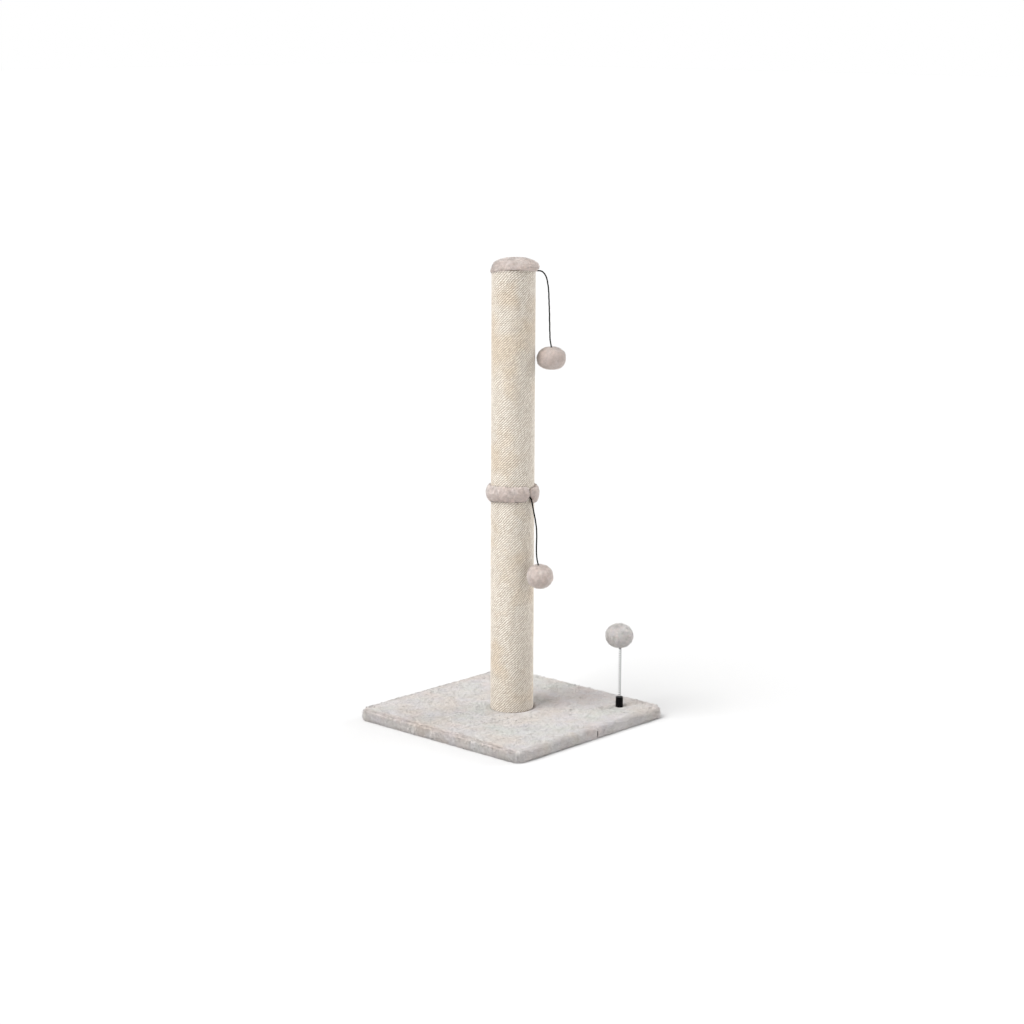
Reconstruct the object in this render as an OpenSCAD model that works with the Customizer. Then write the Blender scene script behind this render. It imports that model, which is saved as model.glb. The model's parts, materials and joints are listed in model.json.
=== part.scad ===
// Scratching post on a square plush base, with two hanging toys and one toy on a spring.
// Millimetres. The post's axis is Z, and the part stands on its pads at z = 0.

/* [Base] */
// Side of the square base, over the plush
base_w = 400; // [340:1:460]
// Corner radius of the base in plan, over the plush
base_corner_r = 22; // [16:1:40]
// Rounding of the plush along the base's top edge
base_edge_r = 8; // [4:0.5:9]
// Rounding of the plush along the base's bottom edge
base_under_r = 3; // [1:0.5:5]
// Thickness of the base board
board_t = 15; // [13:0.5:22]
// Thickness of the plush on the base's sides, pile and all
side_plush_t = 4; // [3:0.1:6]
// Thickness of the plush on the base's top, pile and all
top_plush_t = 5; // [4:0.1:7]
// Width of the plush turned under the board
fold_w = 30; // [20:1:60]
// Thickness of the plush that is turned under and pulled flat
fold_t = 1.5; // [1:0.1:3]
// Distance from the base's edge to the edge of the lining under it
lining_inset = 22; // [15:1:30]
// Thickness of the lining
lining_t = 0.6; // [0.4:0.1:1]
// Diameter of an anti-slip pad
pad_d = 30; // [15:1:40]
// Thickness of an anti-slip pad
pad_h = 2; // [1.5:0.1:4]
// Distance from the base's edge to a pad's centre
pad_inset = 50; // [45:1:90]
// Staples along each side of the base
staples_per_side = 6; // [3:1:9]

/* [Post] */
// Outer diameter of the cardboard tubes
tube_d = 72; // [60:0.5:90]
// Wall of the cardboard tubes
tube_wall = 4; // [3:0.1:6]
// Length of each of the post's two sections
section_l = 410.5; // [300:0.5:520]
// Thickness of the wooden plugs in the tubes' ends
plug_t = 25; // [22:0.5:35]
// Thickness of the sisal rope
rope_d = 4; // [3:0.1:6]
// Turns of rope drawn one by one at the foot and at the head of the post
rope_loops = 11; // [4:1:11]
// Height of bare tube that the rope leaves at the head of each section
bare_rim_h = 4; // [3.8:0.1:6]

/* [Collar] */
// Height of the plush collar at the post's joint
collar_h = 32; // [24:0.5:44]
// How far the collar stands out from the rope
collar_out = 8.9; // [7:0.1:14]
// Thickness of the collar's plush, pile and all
collar_plush_t = 3; // [2:0.1:4]

/* [Cap] */
// How far the cap's plush stands out from the rope
cap_out = 3.5; // [2.5:0.1:8]
// Height of the cap's dome above its widest line
cap_dome_h = 18.2; // [14:0.1:30]
// Height of the cap's widest line above the top of the tube
cap_wide_h = 3.8; // [2:0.1:6]
// Thickness of the cap's plush, pile and all
cap_plush_t = 4; // [3:0.1:5]
// Thickness of the wooden disc in the cap
disc_t = 8; // [6:0.5:9]

/* [Hanging toys] */
// Thickness of the elastic cords
cord_d = 2.3; // [1.6:0.1:2.6]
// Depth of a cord's centre below the top of its section
cord_drop = 2.3; // [2.3:0.1:2.6]
// Direction of the upper toy around the post, in degrees from +X
upper_toy_angle = -45; // [-180:1:180]
// Direction of the lower toy around the post, in degrees from +X
lower_toy_angle = -93; // [-180:1:180]
// Width of the upper ball
upper_ball_w = 53.2; // [40:0.2:56]
// Height of the upper ball
upper_ball_h = 41; // [34:0.2:60]
// Width of the lower ball
lower_ball_w = 48.4; // [40:0.2:56]
// Height of the lower ball
lower_ball_h = 44.4; // [34:0.2:60]
// Depth of a cord's knot below the top of its ball
knot_depth = 12; // [8:0.5:16]
// Thickness of the balls' plush, pile and all
ball_plush_t = 3; // [2:0.1:4]

/* [Spring toy] */
// Distance of the spring toy's middle from the base's +X edge
spring_toy_x = 60; // [40:1:110]
// Distance of the spring toy's middle from the base's -Y edge
spring_toy_y = 55; // [40:1:110]
// Outer diameter of the spring
spring_d = 5.4; // [5:0.1:9]
// Thickness of the spring's wire
wire_d = 1; // [0.7:0.05:1.2]
// Height of the ball's underside above the base's plush
spring_reach = 112.5; // [80:0.5:140]
// Turns of the spring
spring_loops = 24; // [14:1:24]
// Diameter of the spring's holder over its ribs
holder_d = 14; // [13:0.1:24]
// Height of the holder's top above the base's plush
holder_h = 17; // [14:0.5:30]
// Ribs round the holder
holder_ribs = 10; // [6:1:14]
// Width of the ball on the spring
spring_ball_w = 52; // [40:0.2:70]
// Height of the ball on the spring
spring_ball_h = 45.4; // [34:0.2:70]

/* [Hidden] */
$fn = 96;
eps = 0.01;

// Clearances
soft_gap = 0.3;
thread_gap = 0.05;
plug_gap = 0.2;
cord_gap = 0.3;
turn_gap = 0.45;

// Levels of the base, from the floor up
cover_z = pad_h + lining_t;
board_z = cover_z + fold_t + soft_gap;
board_top = board_z + board_t;
plush_in_z = board_top + soft_gap;
base_top = plush_in_z + top_plush_t;
pressed_t = 1;
post_z = plush_in_z + pressed_t;

// Plan sizes of the base
corner_c = base_w / 2 - base_corner_r;
pocket_w = base_w - 2 * side_plush_t;
pocket_r = base_corner_r - side_plush_t;
board_w = pocket_w - 2 * soft_gap;
pad_c = base_w / 2 - pad_inset;

// Post
tube_r = tube_d / 2;
tube_in_r = tube_r - tube_wall;
plug_r = tube_in_r - plug_gap;
post_r = tube_r + rope_d;
joint_z = post_z + section_l;
head_z = joint_z + section_l;
rope_in_r = tube_r + soft_gap;
post_hole_r = post_r + 0.6;

// Turns of rope: each turn lies one rope's thickness above the last
loop_rings = 24;
loop_sides = 6;
loop_d = rope_d - turn_gap;
loop_r = post_r - loop_d / 2 * cos(180 / loop_sides);
loops_h = (rope_loops + 1) * rope_d;

// M8 hardware
m8_r = 4;
m8_hole_r = 4.3;
bolt_l = 40;
bolt_head_w = 13;
bolt_head_h = 5.3;
washer_r = 12;
washer_t = 1.6;
washer_recess = 8;
washer_z = board_z + washer_recess - washer_t;
bolt_z = washer_z - bolt_head_h;
stud_l = 56;
nut_barrel_r = 5;
nut_barrel_h = 9;
nut_flange_r = 10;
nut_flange_t = 1.5;
prong_r = 8;
prong_h = 5;

// Tacks and staples
tack_l = 14;
tack_r = 0.8;
tack_head_r = 2;
tack_head_t = 0.6;
staple_w = 10;
staple_t = 1.2;
staple_crown_t = 0.6;
staple_l = 8;

// Wood screws
screw_r = 1.75;
screw_head_r = 3.5;
screw_head_t = 2.6;
cap_screw_l = 28;
cap_screw_c = 17;

// Cord ends: a knot in a pocket of the head plug, and one inside the ball
cord_r = cord_d / 2;
groove_r = cord_r + cord_gap;
knot_r = 2.2;
knot_l = 5;
knot_pocket_c = 24;
knot_pocket_r = 4;
knot_pocket_h = 5.5;
upper_cord_z = head_z - cord_drop;
lower_cord_z = joint_z - cord_drop;

// Routes of the hanging cords, as steps outward and upward from the mouth of each cord's hole
// in the rope. They follow the plane of the toy's own direction.
upper_route = [
    [0, 0], [3.5, 0], [6.5, 0], [9.5, -0.5], [12.5, -2], [15, -4.5], [17.5, -8], [19.5, -12.5],
    [21, -18], [22, -24], [23, -30], [23.5, -36], [24, -42], [24, -48], [24.5, -54], [24.5, -60],
    [25, -66], [25, -72], [25.5, -78], [25.5, -84], [25.5, -90], [26, -96], [26, -102],
    [26, -108], [26.5, -114], [26.5, -120], [27, -126], [28, -132], [29, -138], [29, -144],
    [29, -150]
];
lower_route = [
    [0, 0], [3, -0.5], [5.5, -2.5], [7, -6], [8.5, -11], [10, -16.5], [11.5, -22], [13.5, -28],
    [15.5, -34], [17.5, -40], [19, -46], [20.5, -52], [21.5, -58], [22, -64], [22.5, -70],
    [22.5, -76], [22.5, -82], [23, -88], [24, -94], [25, -100], [26.5, -106], [28, -112],
    [29, -118], [29, -124], [29, -131]
];
cord_sides = 8;

// Collar
collar_in_r = post_r + soft_gap;
collar_back_t = 1.2;
collar_power = 2.3;
parting_half_w = cord_r + 0.5;
parting_a = asin(parting_half_w / collar_in_r);

// Cap
cap_r = post_r + cap_out;
cap_power = 2.5;
cap_in_r = cap_r - cap_plush_t;
cap_in_h = cap_dome_h - cap_plush_t;
cap_wide_z = head_z + cap_wide_h;
hem_z = head_z - bare_rim_h + soft_gap;
hem_in_r = tube_r + soft_gap;
hem_round = cap_out;
disc_top = head_z + disc_t;
disc_r = dome_reach(cap_in_r, cap_in_h, cap_power, max(0, disc_top - cap_wide_z)) - soft_gap;
pad_bottom = disc_top + soft_gap;

// Hanging balls
upper_end = upper_route[len(upper_route) - 1];
lower_end = lower_route[len(lower_route) - 1];
upper_ball_r = post_r + upper_end[0];
upper_ball_z = upper_cord_z + upper_end[1] + knot_depth - upper_ball_h / 2;
lower_ball_r = post_r + lower_end[0];
lower_ball_z = lower_cord_z + lower_end[1] + knot_depth - lower_ball_h / 2;

// Spring toy
holder_r = holder_d / 2;
rib_r = 1.1;
holder_body_r = holder_r - 0.5;
holder_floor = 7;
holder_bore_r = spring_d / 2 + soft_gap;
holder_dent = 2.7;
holder_z = base_top - holder_dent;
holder_top = base_top + holder_h;
holder_floor_z = holder_z + holder_floor;
spring_screw_l = 20;
spring_screw_head_t = 2.2;
spring_screw_head_r = spring_d / 2 + soft_gap / 2;
wire_r = wire_d / 2;
coil_r = spring_d / 2 - wire_r;
curl_rings = 8;
spring_ball_bottom = base_top + spring_reach;
spring_ball_z = spring_ball_bottom + spring_ball_h / 2;
plug_disc_r = 7;
plug_disc_t = 2;
plug_seat_rise = ball_rise(spring_ball_w, spring_ball_h, plug_disc_r);
plug_disc_z = spring_ball_bottom + ball_plush_t + plug_seat_rise + soft_gap;
spring_z0 = holder_floor_z + spring_screw_head_t + soft_gap + wire_r;
spring_z1 = plug_disc_z - soft_gap - wire_r;
spring_pitch = (spring_z1 - spring_z0) / spring_loops;
spigot_r = coil_r - wire_r - soft_gap;
spigot_l = 8;

// Colours
plush_pale = [0.86, 0.84, 0.82];
plush_warm = [0.80, 0.75, 0.71];
sisal = [0.90, 0.84, 0.72];
card = [0.72, 0.58, 0.42];
wood = [0.80, 0.67, 0.47];
foam = [0.93, 0.92, 0.86];
steel = [0.72, 0.73, 0.75];
black = [0.10, 0.10, 0.11];
cord_black = [0.16, 0.16, 0.17];

// Profiles and measures

// Half width of a rounded dome of radius r and height h at a height z
function dome_reach(r, h, n, z) = r * pow(1 - pow(z / h, n), 1 / n);

// Quarter outline of a rounded dome, from its rim to its top
function dome_points(r, h, n, from = 0, steps = 20) =
    [for (i = [0:steps])
        let (a = from + (90 - from) * i / steps)
        [r * pow(cos(a), 2 / n), h * pow(sin(a), 2 / n)]];

// How far the inside of a ball's cover has risen from its lowest point at a distance r from its axis
function ball_rise(w, h, r) =
    (h / 2 - ball_plush_t) * (1 - sqrt(1 - pow(r / (w / 2 - ball_plush_t), 2)));

function raised(points, z) = [for (p = points) [p[0], p[1] + z]];
function reversed(points) = [for (i = [len(points) - 1:-1:0]) points[i]];

// Arc of a round or oval corner in a profile
function arc_points(x, z, rx, rz, a0, a1, steps = 8) =
    [for (i = [0:steps])
        let (a = a0 + (a1 - a0) * i / steps)
        [x + rx * cos(a), z + rz * sin(a)]];

// Outline of the collar's section: flat against the rope, full and round outside
function collar_section(back, out, half_h) =
    let (quarter = dome_points(out, half_h, collar_power))
    [for (p = concat(reversed([for (q = quarter) [q[0], -q[1]]]), quarter)) [back + p[0], p[1]]];

function unit(v) = v / norm(v);
function along(p, i) = unit(p[min(i + 1, len(p) - 1)] - p[max(i - 1, 0)]);

// Points of a winding, with a straight stretch of one thickness at each end
function winding(r, pitch, loops, rings, d) =
    let (turns = [for (i = [0:loops * rings])
            let (a = 360 * i / rings)
            [r * cos(a), r * sin(a), pitch * i / rings]])
    let (last = len(turns) - 1)
    concat(
        [turns[0] - d * unit([0, 2 * PI * r, pitch])],
        turns,
        [turns[last] + d * unit([0, 2 * PI * r, pitch])]
    );

// The vector from the winding's axis to each of its points
function outward(points) = [for (p = points) unit([p[0], p[1], 0])];

// Least gap of a winding to itself, between points that are at least half a turn apart
function least_gap(points, rings, d) =
    min([for (i = [0:len(points) - 1 - rings / 2])
        min([for (j = [i + rings / 2:min(len(points) - 1, i + 2 * rings)])
            norm(points[i] - points[j])])]) - d;

rope_points = winding(loop_r, rope_d, rope_loops, loop_rings, loop_d);
spring_points = winding(coil_r, spring_pitch, spring_loops, curl_rings, wire_d);
echo(rope_least_gap = least_gap(rope_points, loop_rings, loop_d));
echo(spring_least_gap = least_gap(spring_points, curl_rings, wire_d));

// Round tube of triangles along points. Each guide turns the ring at its point.
module swept_tube(points, guides, d, sides) {
    count = len(points);
    rings = [for (i = [0:count - 1])
        let (t = along(points, i))
        let (n = unit(guides[i] - (guides[i] * t) * t))
        let (b = cross(t, n))
        for (k = [0:sides - 1])
            let (a = 360 * (k + 0.5) / sides)
            points[i] + d / 2 * (cos(a) * n + sin(a) * b)];
    walls = [for (i = [0:count - 2], k = [0:sides - 1])
        let (k2 = (k + 1) % sides)
        for (face = [
            [i * sides + k, (i + 1) * sides + k, (i + 1) * sides + k2],
            [i * sides + k, (i + 1) * sides + k2, i * sides + k2]
        ]) face];
    first_end = [for (k = [1:sides - 2]) [0, k, k + 1]];
    last = (count - 1) * sides;
    last_end = [for (k = [1:sides - 2]) [last, last + k + 1, last + k]];
    polyhedron(rings, concat(walls, first_end, last_end));
}

// Base

// Half section of the base's slab, from the centre of its corner round out to its edge
module slab_section(from) {
    z0 = cover_z;
    z1 = base_top;
    polygon(concat(
        [[from, z0]],
        arc_points(base_corner_r - base_under_r, z0 + base_under_r, base_under_r, base_under_r,
            -90, 0),
        arc_points(base_corner_r - base_edge_r, z1 - base_edge_r, base_edge_r, base_edge_r,
            0, 90),
        [[from, z1]]
    ));
}

module rounded_slab() {
    for (a = [0:90:270])
        rotate([0, 0, a]) {
            translate([corner_c, corner_c, 0])
                rotate_extrude(angle = 90)
                    slab_section(0);
            translate([corner_c, corner_c, 0])
                rotate([90, 0, 0])
                    linear_extrude(2 * corner_c)
                        slab_section(-1);
        }
    translate([-corner_c, -corner_c, cover_z])
        cube([2 * corner_c, 2 * corner_c, base_top - cover_z]);
}

// Flat square plate with round corners
module round_plate(w, r, t) {
    linear_extrude(t)
        union() {
            square([w, w - 2 * r], center = true);
            square([w - 2 * r, w], center = true);
            for (x = [-1, 1], y = [-1, 1])
                translate([x * (w / 2 - r), y * (w / 2 - r)])
                    circle(r);
        }
}

module at_spring_toy(z) {
    translate([base_w / 2 - spring_toy_x, spring_toy_y - base_w / 2, z])
        children();
}

module base_board() {
    color(wood)
        difference() {
            translate([0, 0, board_z])
                round_plate(board_w, pocket_r, board_t);
            translate([0, 0, board_z - eps])
                cylinder(r = washer_r + 1, h = washer_recess + eps);
            translate([0, 0, board_z])
                cylinder(r = m8_r + 0.5, h = board_t + eps);
            at_spring_toy(holder_floor_z - spring_screw_l - 1)
                cylinder(r = screw_r + thread_gap, h = spring_screw_l + 2);
        }
}

// The plush is turned under the board all round and dented by the post and the spring's holder.
module base_cover() {
    color(plush_pale)
        difference() {
            rounded_slab();
            translate([0, 0, cover_z + fold_t])
                round_plate(pocket_w, pocket_r, board_t + 2 * soft_gap);
            translate([0, 0, cover_z - 1])
                round_plate(pocket_w - 2 * fold_w, pocket_r, fold_t + 2);
            translate([0, 0, post_z])
                cylinder(r = post_hole_r, h = top_plush_t);
            translate([0, 0, board_top])
                cylinder(r = m8_r + 1, h = top_plush_t);
            at_spring_toy(holder_z)
                cylinder(r = holder_r + soft_gap, h = top_plush_t);
            at_spring_toy(board_top)
                cylinder(r = screw_r + 0.6, h = top_plush_t);
        }
}

module base_lining() {
    color(black)
        translate([0, 0, pad_h])
            difference() {
                round_plate(base_w - 2 * lining_inset, pocket_r, lining_t);
                translate([0, 0, -1])
                    cylinder(r = washer_r + 1, h = lining_t + 2);
            }
}

module base_pads() {
    color(black)
        for (x = [-1, 1], y = [-1, 1])
            translate([x * pad_c, y * pad_c, 0])
                cylinder(d = pad_d, h = pad_h);
}

module staple() {
    translate([-staple_w / 2, -staple_t / 2, 0])
        cube([staple_w, staple_t, staple_crown_t]);
    for (x = [-1, 1])
        translate([x * (staple_w - staple_t) / 2 - staple_t / 2, -staple_t / 2, 0])
            cube([staple_t, staple_t, staple_l]);
}

module cover_staples() {
    row_y = pocket_w / 2 - fold_w / 2;
    step = 2 * corner_c / staples_per_side;
    color(steel)
        for (a = [0:90:270], i = [0:staples_per_side - 1])
            rotate([0, 0, a])
                translate([-corner_c + step * (i + 0.5), row_y, cover_z + fold_t / 2])
                    staple();
}

module base_bolt() {
    color(steel)
        translate([0, 0, bolt_z]) {
            cylinder(r = bolt_head_w / 2 / cos(30), h = bolt_head_h, $fn = 6);
            translate([0, 0, bolt_head_h])
                cylinder(r = m8_r, h = bolt_l);
        }
}

module base_washer() {
    color(steel)
        translate([0, 0, washer_z])
            difference() {
                cylinder(r = washer_r, h = washer_t);
                translate([0, 0, -1])
                    cylinder(r = m8_r + 0.2, h = washer_t + 2);
            }
}

// Post

// Notch or groove that a cord passes through, open at the top
module cord_way(from, to) {
    rotate([0, 90, 0])
        translate([0, 0, from])
            cylinder(r = groove_r, h = to - from);
    translate([from, -groove_r, 0])
        cube([to - from, 2 * groove_r, cord_drop + 1]);
}

module tube(z, toy_angle) {
    color(card)
        difference() {
            translate([0, 0, z])
                cylinder(r = tube_r, h = section_l);
            translate([0, 0, z - 1])
                cylinder(r = tube_in_r, h = section_l + 2);
            translate([0, 0, z + section_l - cord_drop])
                rotate([0, 0, toy_angle])
                    cord_way(tube_in_r - 2, tube_r + 2);
        }
}

module lower_tube() {
    tube(post_z, lower_toy_angle);
}

module upper_tube() {
    tube(joint_z, upper_toy_angle);
}

// Rope of one section: the drawn turns start at loops_z, and a sleeve stands for the rest
module rope(loops_z, sleeve_z, sleeve_h) {
    color(sisal) {
        translate([0, 0, loops_z + rope_d / 2])
            swept_tube(rope_points, outward(rope_points), loop_d, loop_sides);
        translate([0, 0, sleeve_z])
            difference() {
                cylinder(r = post_r, h = sleeve_h);
                translate([0, 0, -1])
                    cylinder(r = rope_in_r, h = sleeve_h + 2);
            }
    }
}

module lower_rope() {
    rope(post_z, post_z + loops_h, section_l - bare_rim_h - loops_h);
}

module upper_rope() {
    sleeve_h = section_l - bare_rim_h - loops_h;
    rope(joint_z + sleeve_h, joint_z, sleeve_h);
}

// Wooden plug at the foot of a section, bored for the screw and for the tee nut above it
module foot_plug(z) {
    color(wood)
        translate([0, 0, z])
            difference() {
                cylinder(r = plug_r, h = plug_t);
                translate([0, 0, -1])
                    cylinder(r = m8_hole_r, h = plug_t + 2);
                translate([0, 0, plug_t - nut_barrel_h])
                    cylinder(r = nut_barrel_r + thread_gap, h = nut_barrel_h + 1);
            }
}

module lower_foot_plug() {
    foot_plug(post_z);
}

module upper_foot_plug() {
    foot_plug(joint_z);
}

// Pocket for the knot of a cord and the groove that leads out of it
module knot_pocket(toy_angle) {
    rotate([0, 0, toy_angle]) {
        translate([knot_pocket_c, 0, plug_t - knot_pocket_h])
            cylinder(r = knot_pocket_r, h = knot_pocket_h + 1);
        translate([0, 0, plug_t - cord_drop])
            cord_way(knot_pocket_c, plug_r + 1);
    }
}

module lower_head_plug() {
    color(wood)
        translate([0, 0, joint_z - plug_t])
            difference() {
                cylinder(r = plug_r, h = plug_t);
                translate([0, 0, -1])
                    cylinder(r = m8_hole_r, h = plug_t + 2);
                translate([0, 0, -1])
                    cylinder(r = nut_barrel_r + thread_gap, h = nut_barrel_h + 1);
                knot_pocket(lower_toy_angle);
            }
}

module at_cap_screws() {
    for (a = [60, 180, 300])
        rotate([0, 0, upper_toy_angle + a])
            translate([cap_screw_c, 0, 0])
                children();
}

module upper_head_plug() {
    color(wood)
        translate([0, 0, head_z - plug_t])
            difference() {
                cylinder(r = plug_r, h = plug_t);
                at_cap_screws()
                    translate([0, 0, plug_t - (cap_screw_l - disc_t) - 1])
                        cylinder(r = screw_r + thread_gap, h = cap_screw_l);
                knot_pocket(upper_toy_angle);
            }
}

// Tee nut with its flange on top and its barrel and prongs below
module tee_nut() {
    difference() {
        union() {
            cylinder(r = nut_flange_r, h = nut_flange_t);
            translate([0, 0, -nut_barrel_h])
                cylinder(r = nut_barrel_r, h = nut_barrel_h + eps);
            for (a = [0:120:240])
                rotate([0, 0, a])
                    translate([prong_r, -1.5, -prong_h])
                        cube([1, 3, prong_h + eps]);
        }
        translate([0, 0, -nut_barrel_h - 1])
            cylinder(r = m8_r + thread_gap, h = nut_barrel_h + nut_flange_t + 2);
    }
}

module tee_nuts() {
    color(steel) {
        for (z = [post_z + plug_t, joint_z + plug_t])
            translate([0, 0, z])
                tee_nut();
        translate([0, 0, joint_z - plug_t])
            mirror([0, 0, 1])
                tee_nut();
    }
}

// Tack driven in from the tube's outside, its head flush with the cardboard
module tack() {
    translate([tube_r - tack_head_t, 0, 0])
        rotate([0, 90, 0])
            cylinder(r = tack_head_r, h = tack_head_t);
    translate([tube_r - tack_l, 0, 0])
        rotate([0, 90, 0])
            cylinder(r = tack_r, h = tack_l - tack_head_t + eps);
}

module plug_tacks() {
    color(steel)
        for (z = [post_z + plug_t / 2, joint_z - plug_t / 2, joint_z + plug_t / 2,
                head_z - plug_t / 2])
            for (a = [0:120:240])
                translate([0, 0, z])
                    rotate([0, 0, a])
                        tack();
}

module joint_stud() {
    color(steel)
        translate([0, 0, joint_z - stud_l / 2])
            cylinder(r = m8_r, h = stud_l);
}

// Collar: a filled plush roll round the joint, parted where the lower cord comes out

module collar_ring() {
    translate([0, 0, joint_z])
        rotate([0, 0, lower_toy_angle + parting_a])
            rotate_extrude(angle = 360 - 2 * parting_a)
                children();
}

module collar_hollow(inset) {
    polygon(collar_section(
        collar_in_r + collar_back_t + inset,
        collar_out - collar_back_t - collar_plush_t - 2 * inset,
        collar_h / 2 - collar_plush_t - inset
    ));
}

module collar_cover() {
    color(plush_warm)
        collar_ring()
            difference() {
                polygon(collar_section(collar_in_r, collar_out - soft_gap, collar_h / 2));
                collar_hollow(0);
            }
}

module collar_filling() {
    color(foam)
        collar_ring()
            collar_hollow(soft_gap);
}

// Cap: a wooden disc under a foam dome, with the plush drawn over both and tucked under

module cap_disc() {
    color(wood)
        translate([0, 0, head_z])
            difference() {
                cylinder(r = disc_r, h = disc_t);
                at_cap_screws() {
                    translate([0, 0, -1])
                        cylinder(r = screw_r + thread_gap, h = disc_t + 2);
                    translate([0, 0, disc_t - screw_head_t])
                        cylinder(r1 = screw_r + thread_gap, r2 = screw_head_r + thread_gap,
                            h = screw_head_t + eps);
                }
            }
}

module cap_screws() {
    color(steel)
        translate([0, 0, head_z])
            at_cap_screws() {
                translate([0, 0, disc_t - cap_screw_l])
                    cylinder(r = screw_r, h = cap_screw_l - screw_head_t + eps);
                translate([0, 0, disc_t - screw_head_t])
                    cylinder(r1 = screw_r, r2 = screw_head_r, h = screw_head_t);
            }
}

module cap_pad() {
    rise = pad_bottom - cap_wide_z;
    pad_r = cap_in_r - soft_gap;
    pad_h_top = cap_in_h - soft_gap;
    from = rise > 0 ? asin(pow(rise / pad_h_top, cap_power / 2)) : 0;
    outline = raised(dome_points(pad_r, pad_h_top, cap_power, from), cap_wide_z);
    color(foam)
        rotate_extrude()
            polygon(concat([[0, pad_bottom]], outline));
}

module cap_cover() {
    color(plush_warm)
        difference() {
            rotate_extrude()
                polygon(concat(
                    [[hem_in_r, hem_z]],
                    arc_points(cap_r - hem_round, cap_wide_z, hem_round, cap_wide_z - hem_z, -90, 0),
                    raised(dome_points(cap_r, cap_dome_h, cap_power), cap_wide_z),
                    reversed(raised(dome_points(cap_in_r, cap_in_h, cap_power), cap_wide_z)),
                    [[cap_in_r, head_z - soft_gap], [hem_in_r, head_z - soft_gap]]
                ));
            rotate([0, 0, upper_toy_angle])
                translate([hem_in_r - 1, 0, upper_cord_z]) {
                    rotate([0, 90, 0])
                        cylinder(r = groove_r, h = cap_out + rope_d + 2);
                    translate([0, -groove_r, -bare_rim_h])
                        cube([cap_out + rope_d + 2, 2 * groove_r, bare_rim_h]);
                }
        }
}

// Cords and knots

// Cord in the plane of its toy, from the knot in the plug along its route to the ball's knot
module toy_cord(toy_angle, z, route) {
    inner = [for (r = [knot_pocket_c + knot_l / 2, (knot_pocket_c + post_r) / 2]) [r - post_r, 0]];
    line = [for (p = concat(inner, route)) [post_r + p[0], 0, z + p[1]]];
    color(cord_black)
        rotate([0, 0, toy_angle])
            swept_tube(line, [for (p = line) [0, 1, 0]], cord_d, cord_sides);
}

module upper_toy_cord() {
    toy_cord(upper_toy_angle, upper_cord_z, upper_route);
}

module lower_toy_cord() {
    toy_cord(lower_toy_angle, lower_cord_z, lower_route);
}

// Knot on its cord's line, with the cord coming from above
module knot() {
    color(cord_black)
        translate([0, 0, -knot_l])
            rotate_extrude()
                polygon(concat(
                    [[0, 0]],
                    arc_points(knot_r - 0.9, knot_l / 2, 0.9, knot_l / 2, -90, 90),
                    [[0, knot_l]]
                ));
}

module cord_anchor_knots() {
    for (end = [[upper_toy_angle, upper_cord_z], [lower_toy_angle, lower_cord_z]])
        rotate([0, 0, end[0]])
            translate([knot_pocket_c + knot_l / 2, 0, end[1]])
                rotate([0, 90, 0])
                    knot();
}

// Balls: a plush cover drawn together round the cord or the spring, over a filled core

// Half outline of a ball in section
module ball_section(w, h) {
    polygon(arc_points(0, 0, w / 2, h / 2, -90, 90, 32));
}

// Cover with its gathered opening at the top, or at the bottom when side is -1
module ball_cover(w, h, opening_r, side) {
    color(plush_warm)
        rotate_extrude()
            difference() {
                ball_section(w, h);
                ball_section(w - 2 * ball_plush_t, h - 2 * ball_plush_t);
                translate([-1, side > 0 ? 0 : -h])
                    square([opening_r + 1, h]);
            }
}

// Core with a bore of length bore_l that ends in a wider pocket
module ball_core(w, h, bore_r, pocket_at, pocket_r, pocket_h, side) {
    inset = 2 * (ball_plush_t + soft_gap);
    color(foam)
        rotate_extrude()
            difference() {
                ball_section(w - inset, h - inset);
                translate([-1, side > 0 ? pocket_at : -h])
                    square([bore_r + 1, side > 0 ? h : h + pocket_at]);
                translate([-1, pocket_at - (side > 0 ? pocket_h : 0)])
                    square([pocket_r + 1, pocket_h]);
            }
}

module at_upper_ball(z) {
    rotate([0, 0, upper_toy_angle])
        translate([upper_ball_r, 0, z])
            children();
}

module at_lower_ball(z) {
    rotate([0, 0, lower_toy_angle])
        translate([lower_ball_r, 0, z])
            children();
}

module hanging_core(w, h) {
    knot_room = 0.4;
    ball_core(w, h, groove_r, h / 2 - knot_depth + knot_room, knot_r + knot_room,
        knot_l + 2 * knot_room, 1);
}

module upper_toy_knot() {
    at_upper_ball(upper_ball_z + upper_ball_h / 2 - knot_depth)
        knot();
}

module upper_toy_core() {
    at_upper_ball(upper_ball_z)
        hanging_core(upper_ball_w, upper_ball_h);
}

module upper_toy_cover() {
    at_upper_ball(upper_ball_z)
        ball_cover(upper_ball_w, upper_ball_h, groove_r, 1);
}

module lower_toy_knot() {
    at_lower_ball(lower_ball_z + lower_ball_h / 2 - knot_depth)
        knot();
}

module lower_toy_core() {
    at_lower_ball(lower_ball_z)
        hanging_core(lower_ball_w, lower_ball_h);
}

module lower_toy_cover() {
    at_lower_ball(lower_ball_z)
        ball_cover(lower_ball_w, lower_ball_h, groove_r, 1);
}

// Spring toy

module spring_holder() {
    color(black)
        at_spring_toy(holder_z)
            difference() {
                union() {
                    cylinder(r = holder_body_r, h = holder_top - holder_z);
                    for (i = [0:holder_ribs - 1])
                        rotate([0, 0, 360 * i / holder_ribs])
                            translate([holder_r - rib_r, 0, 0])
                                cylinder(r = rib_r, h = holder_top - holder_z - 1);
                }
                translate([0, 0, -1])
                    cylinder(r = screw_r + thread_gap, h = holder_floor + 2);
                translate([0, 0, holder_floor])
                    cylinder(r = holder_bore_r, h = holder_top - holder_z);
            }
}

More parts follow.
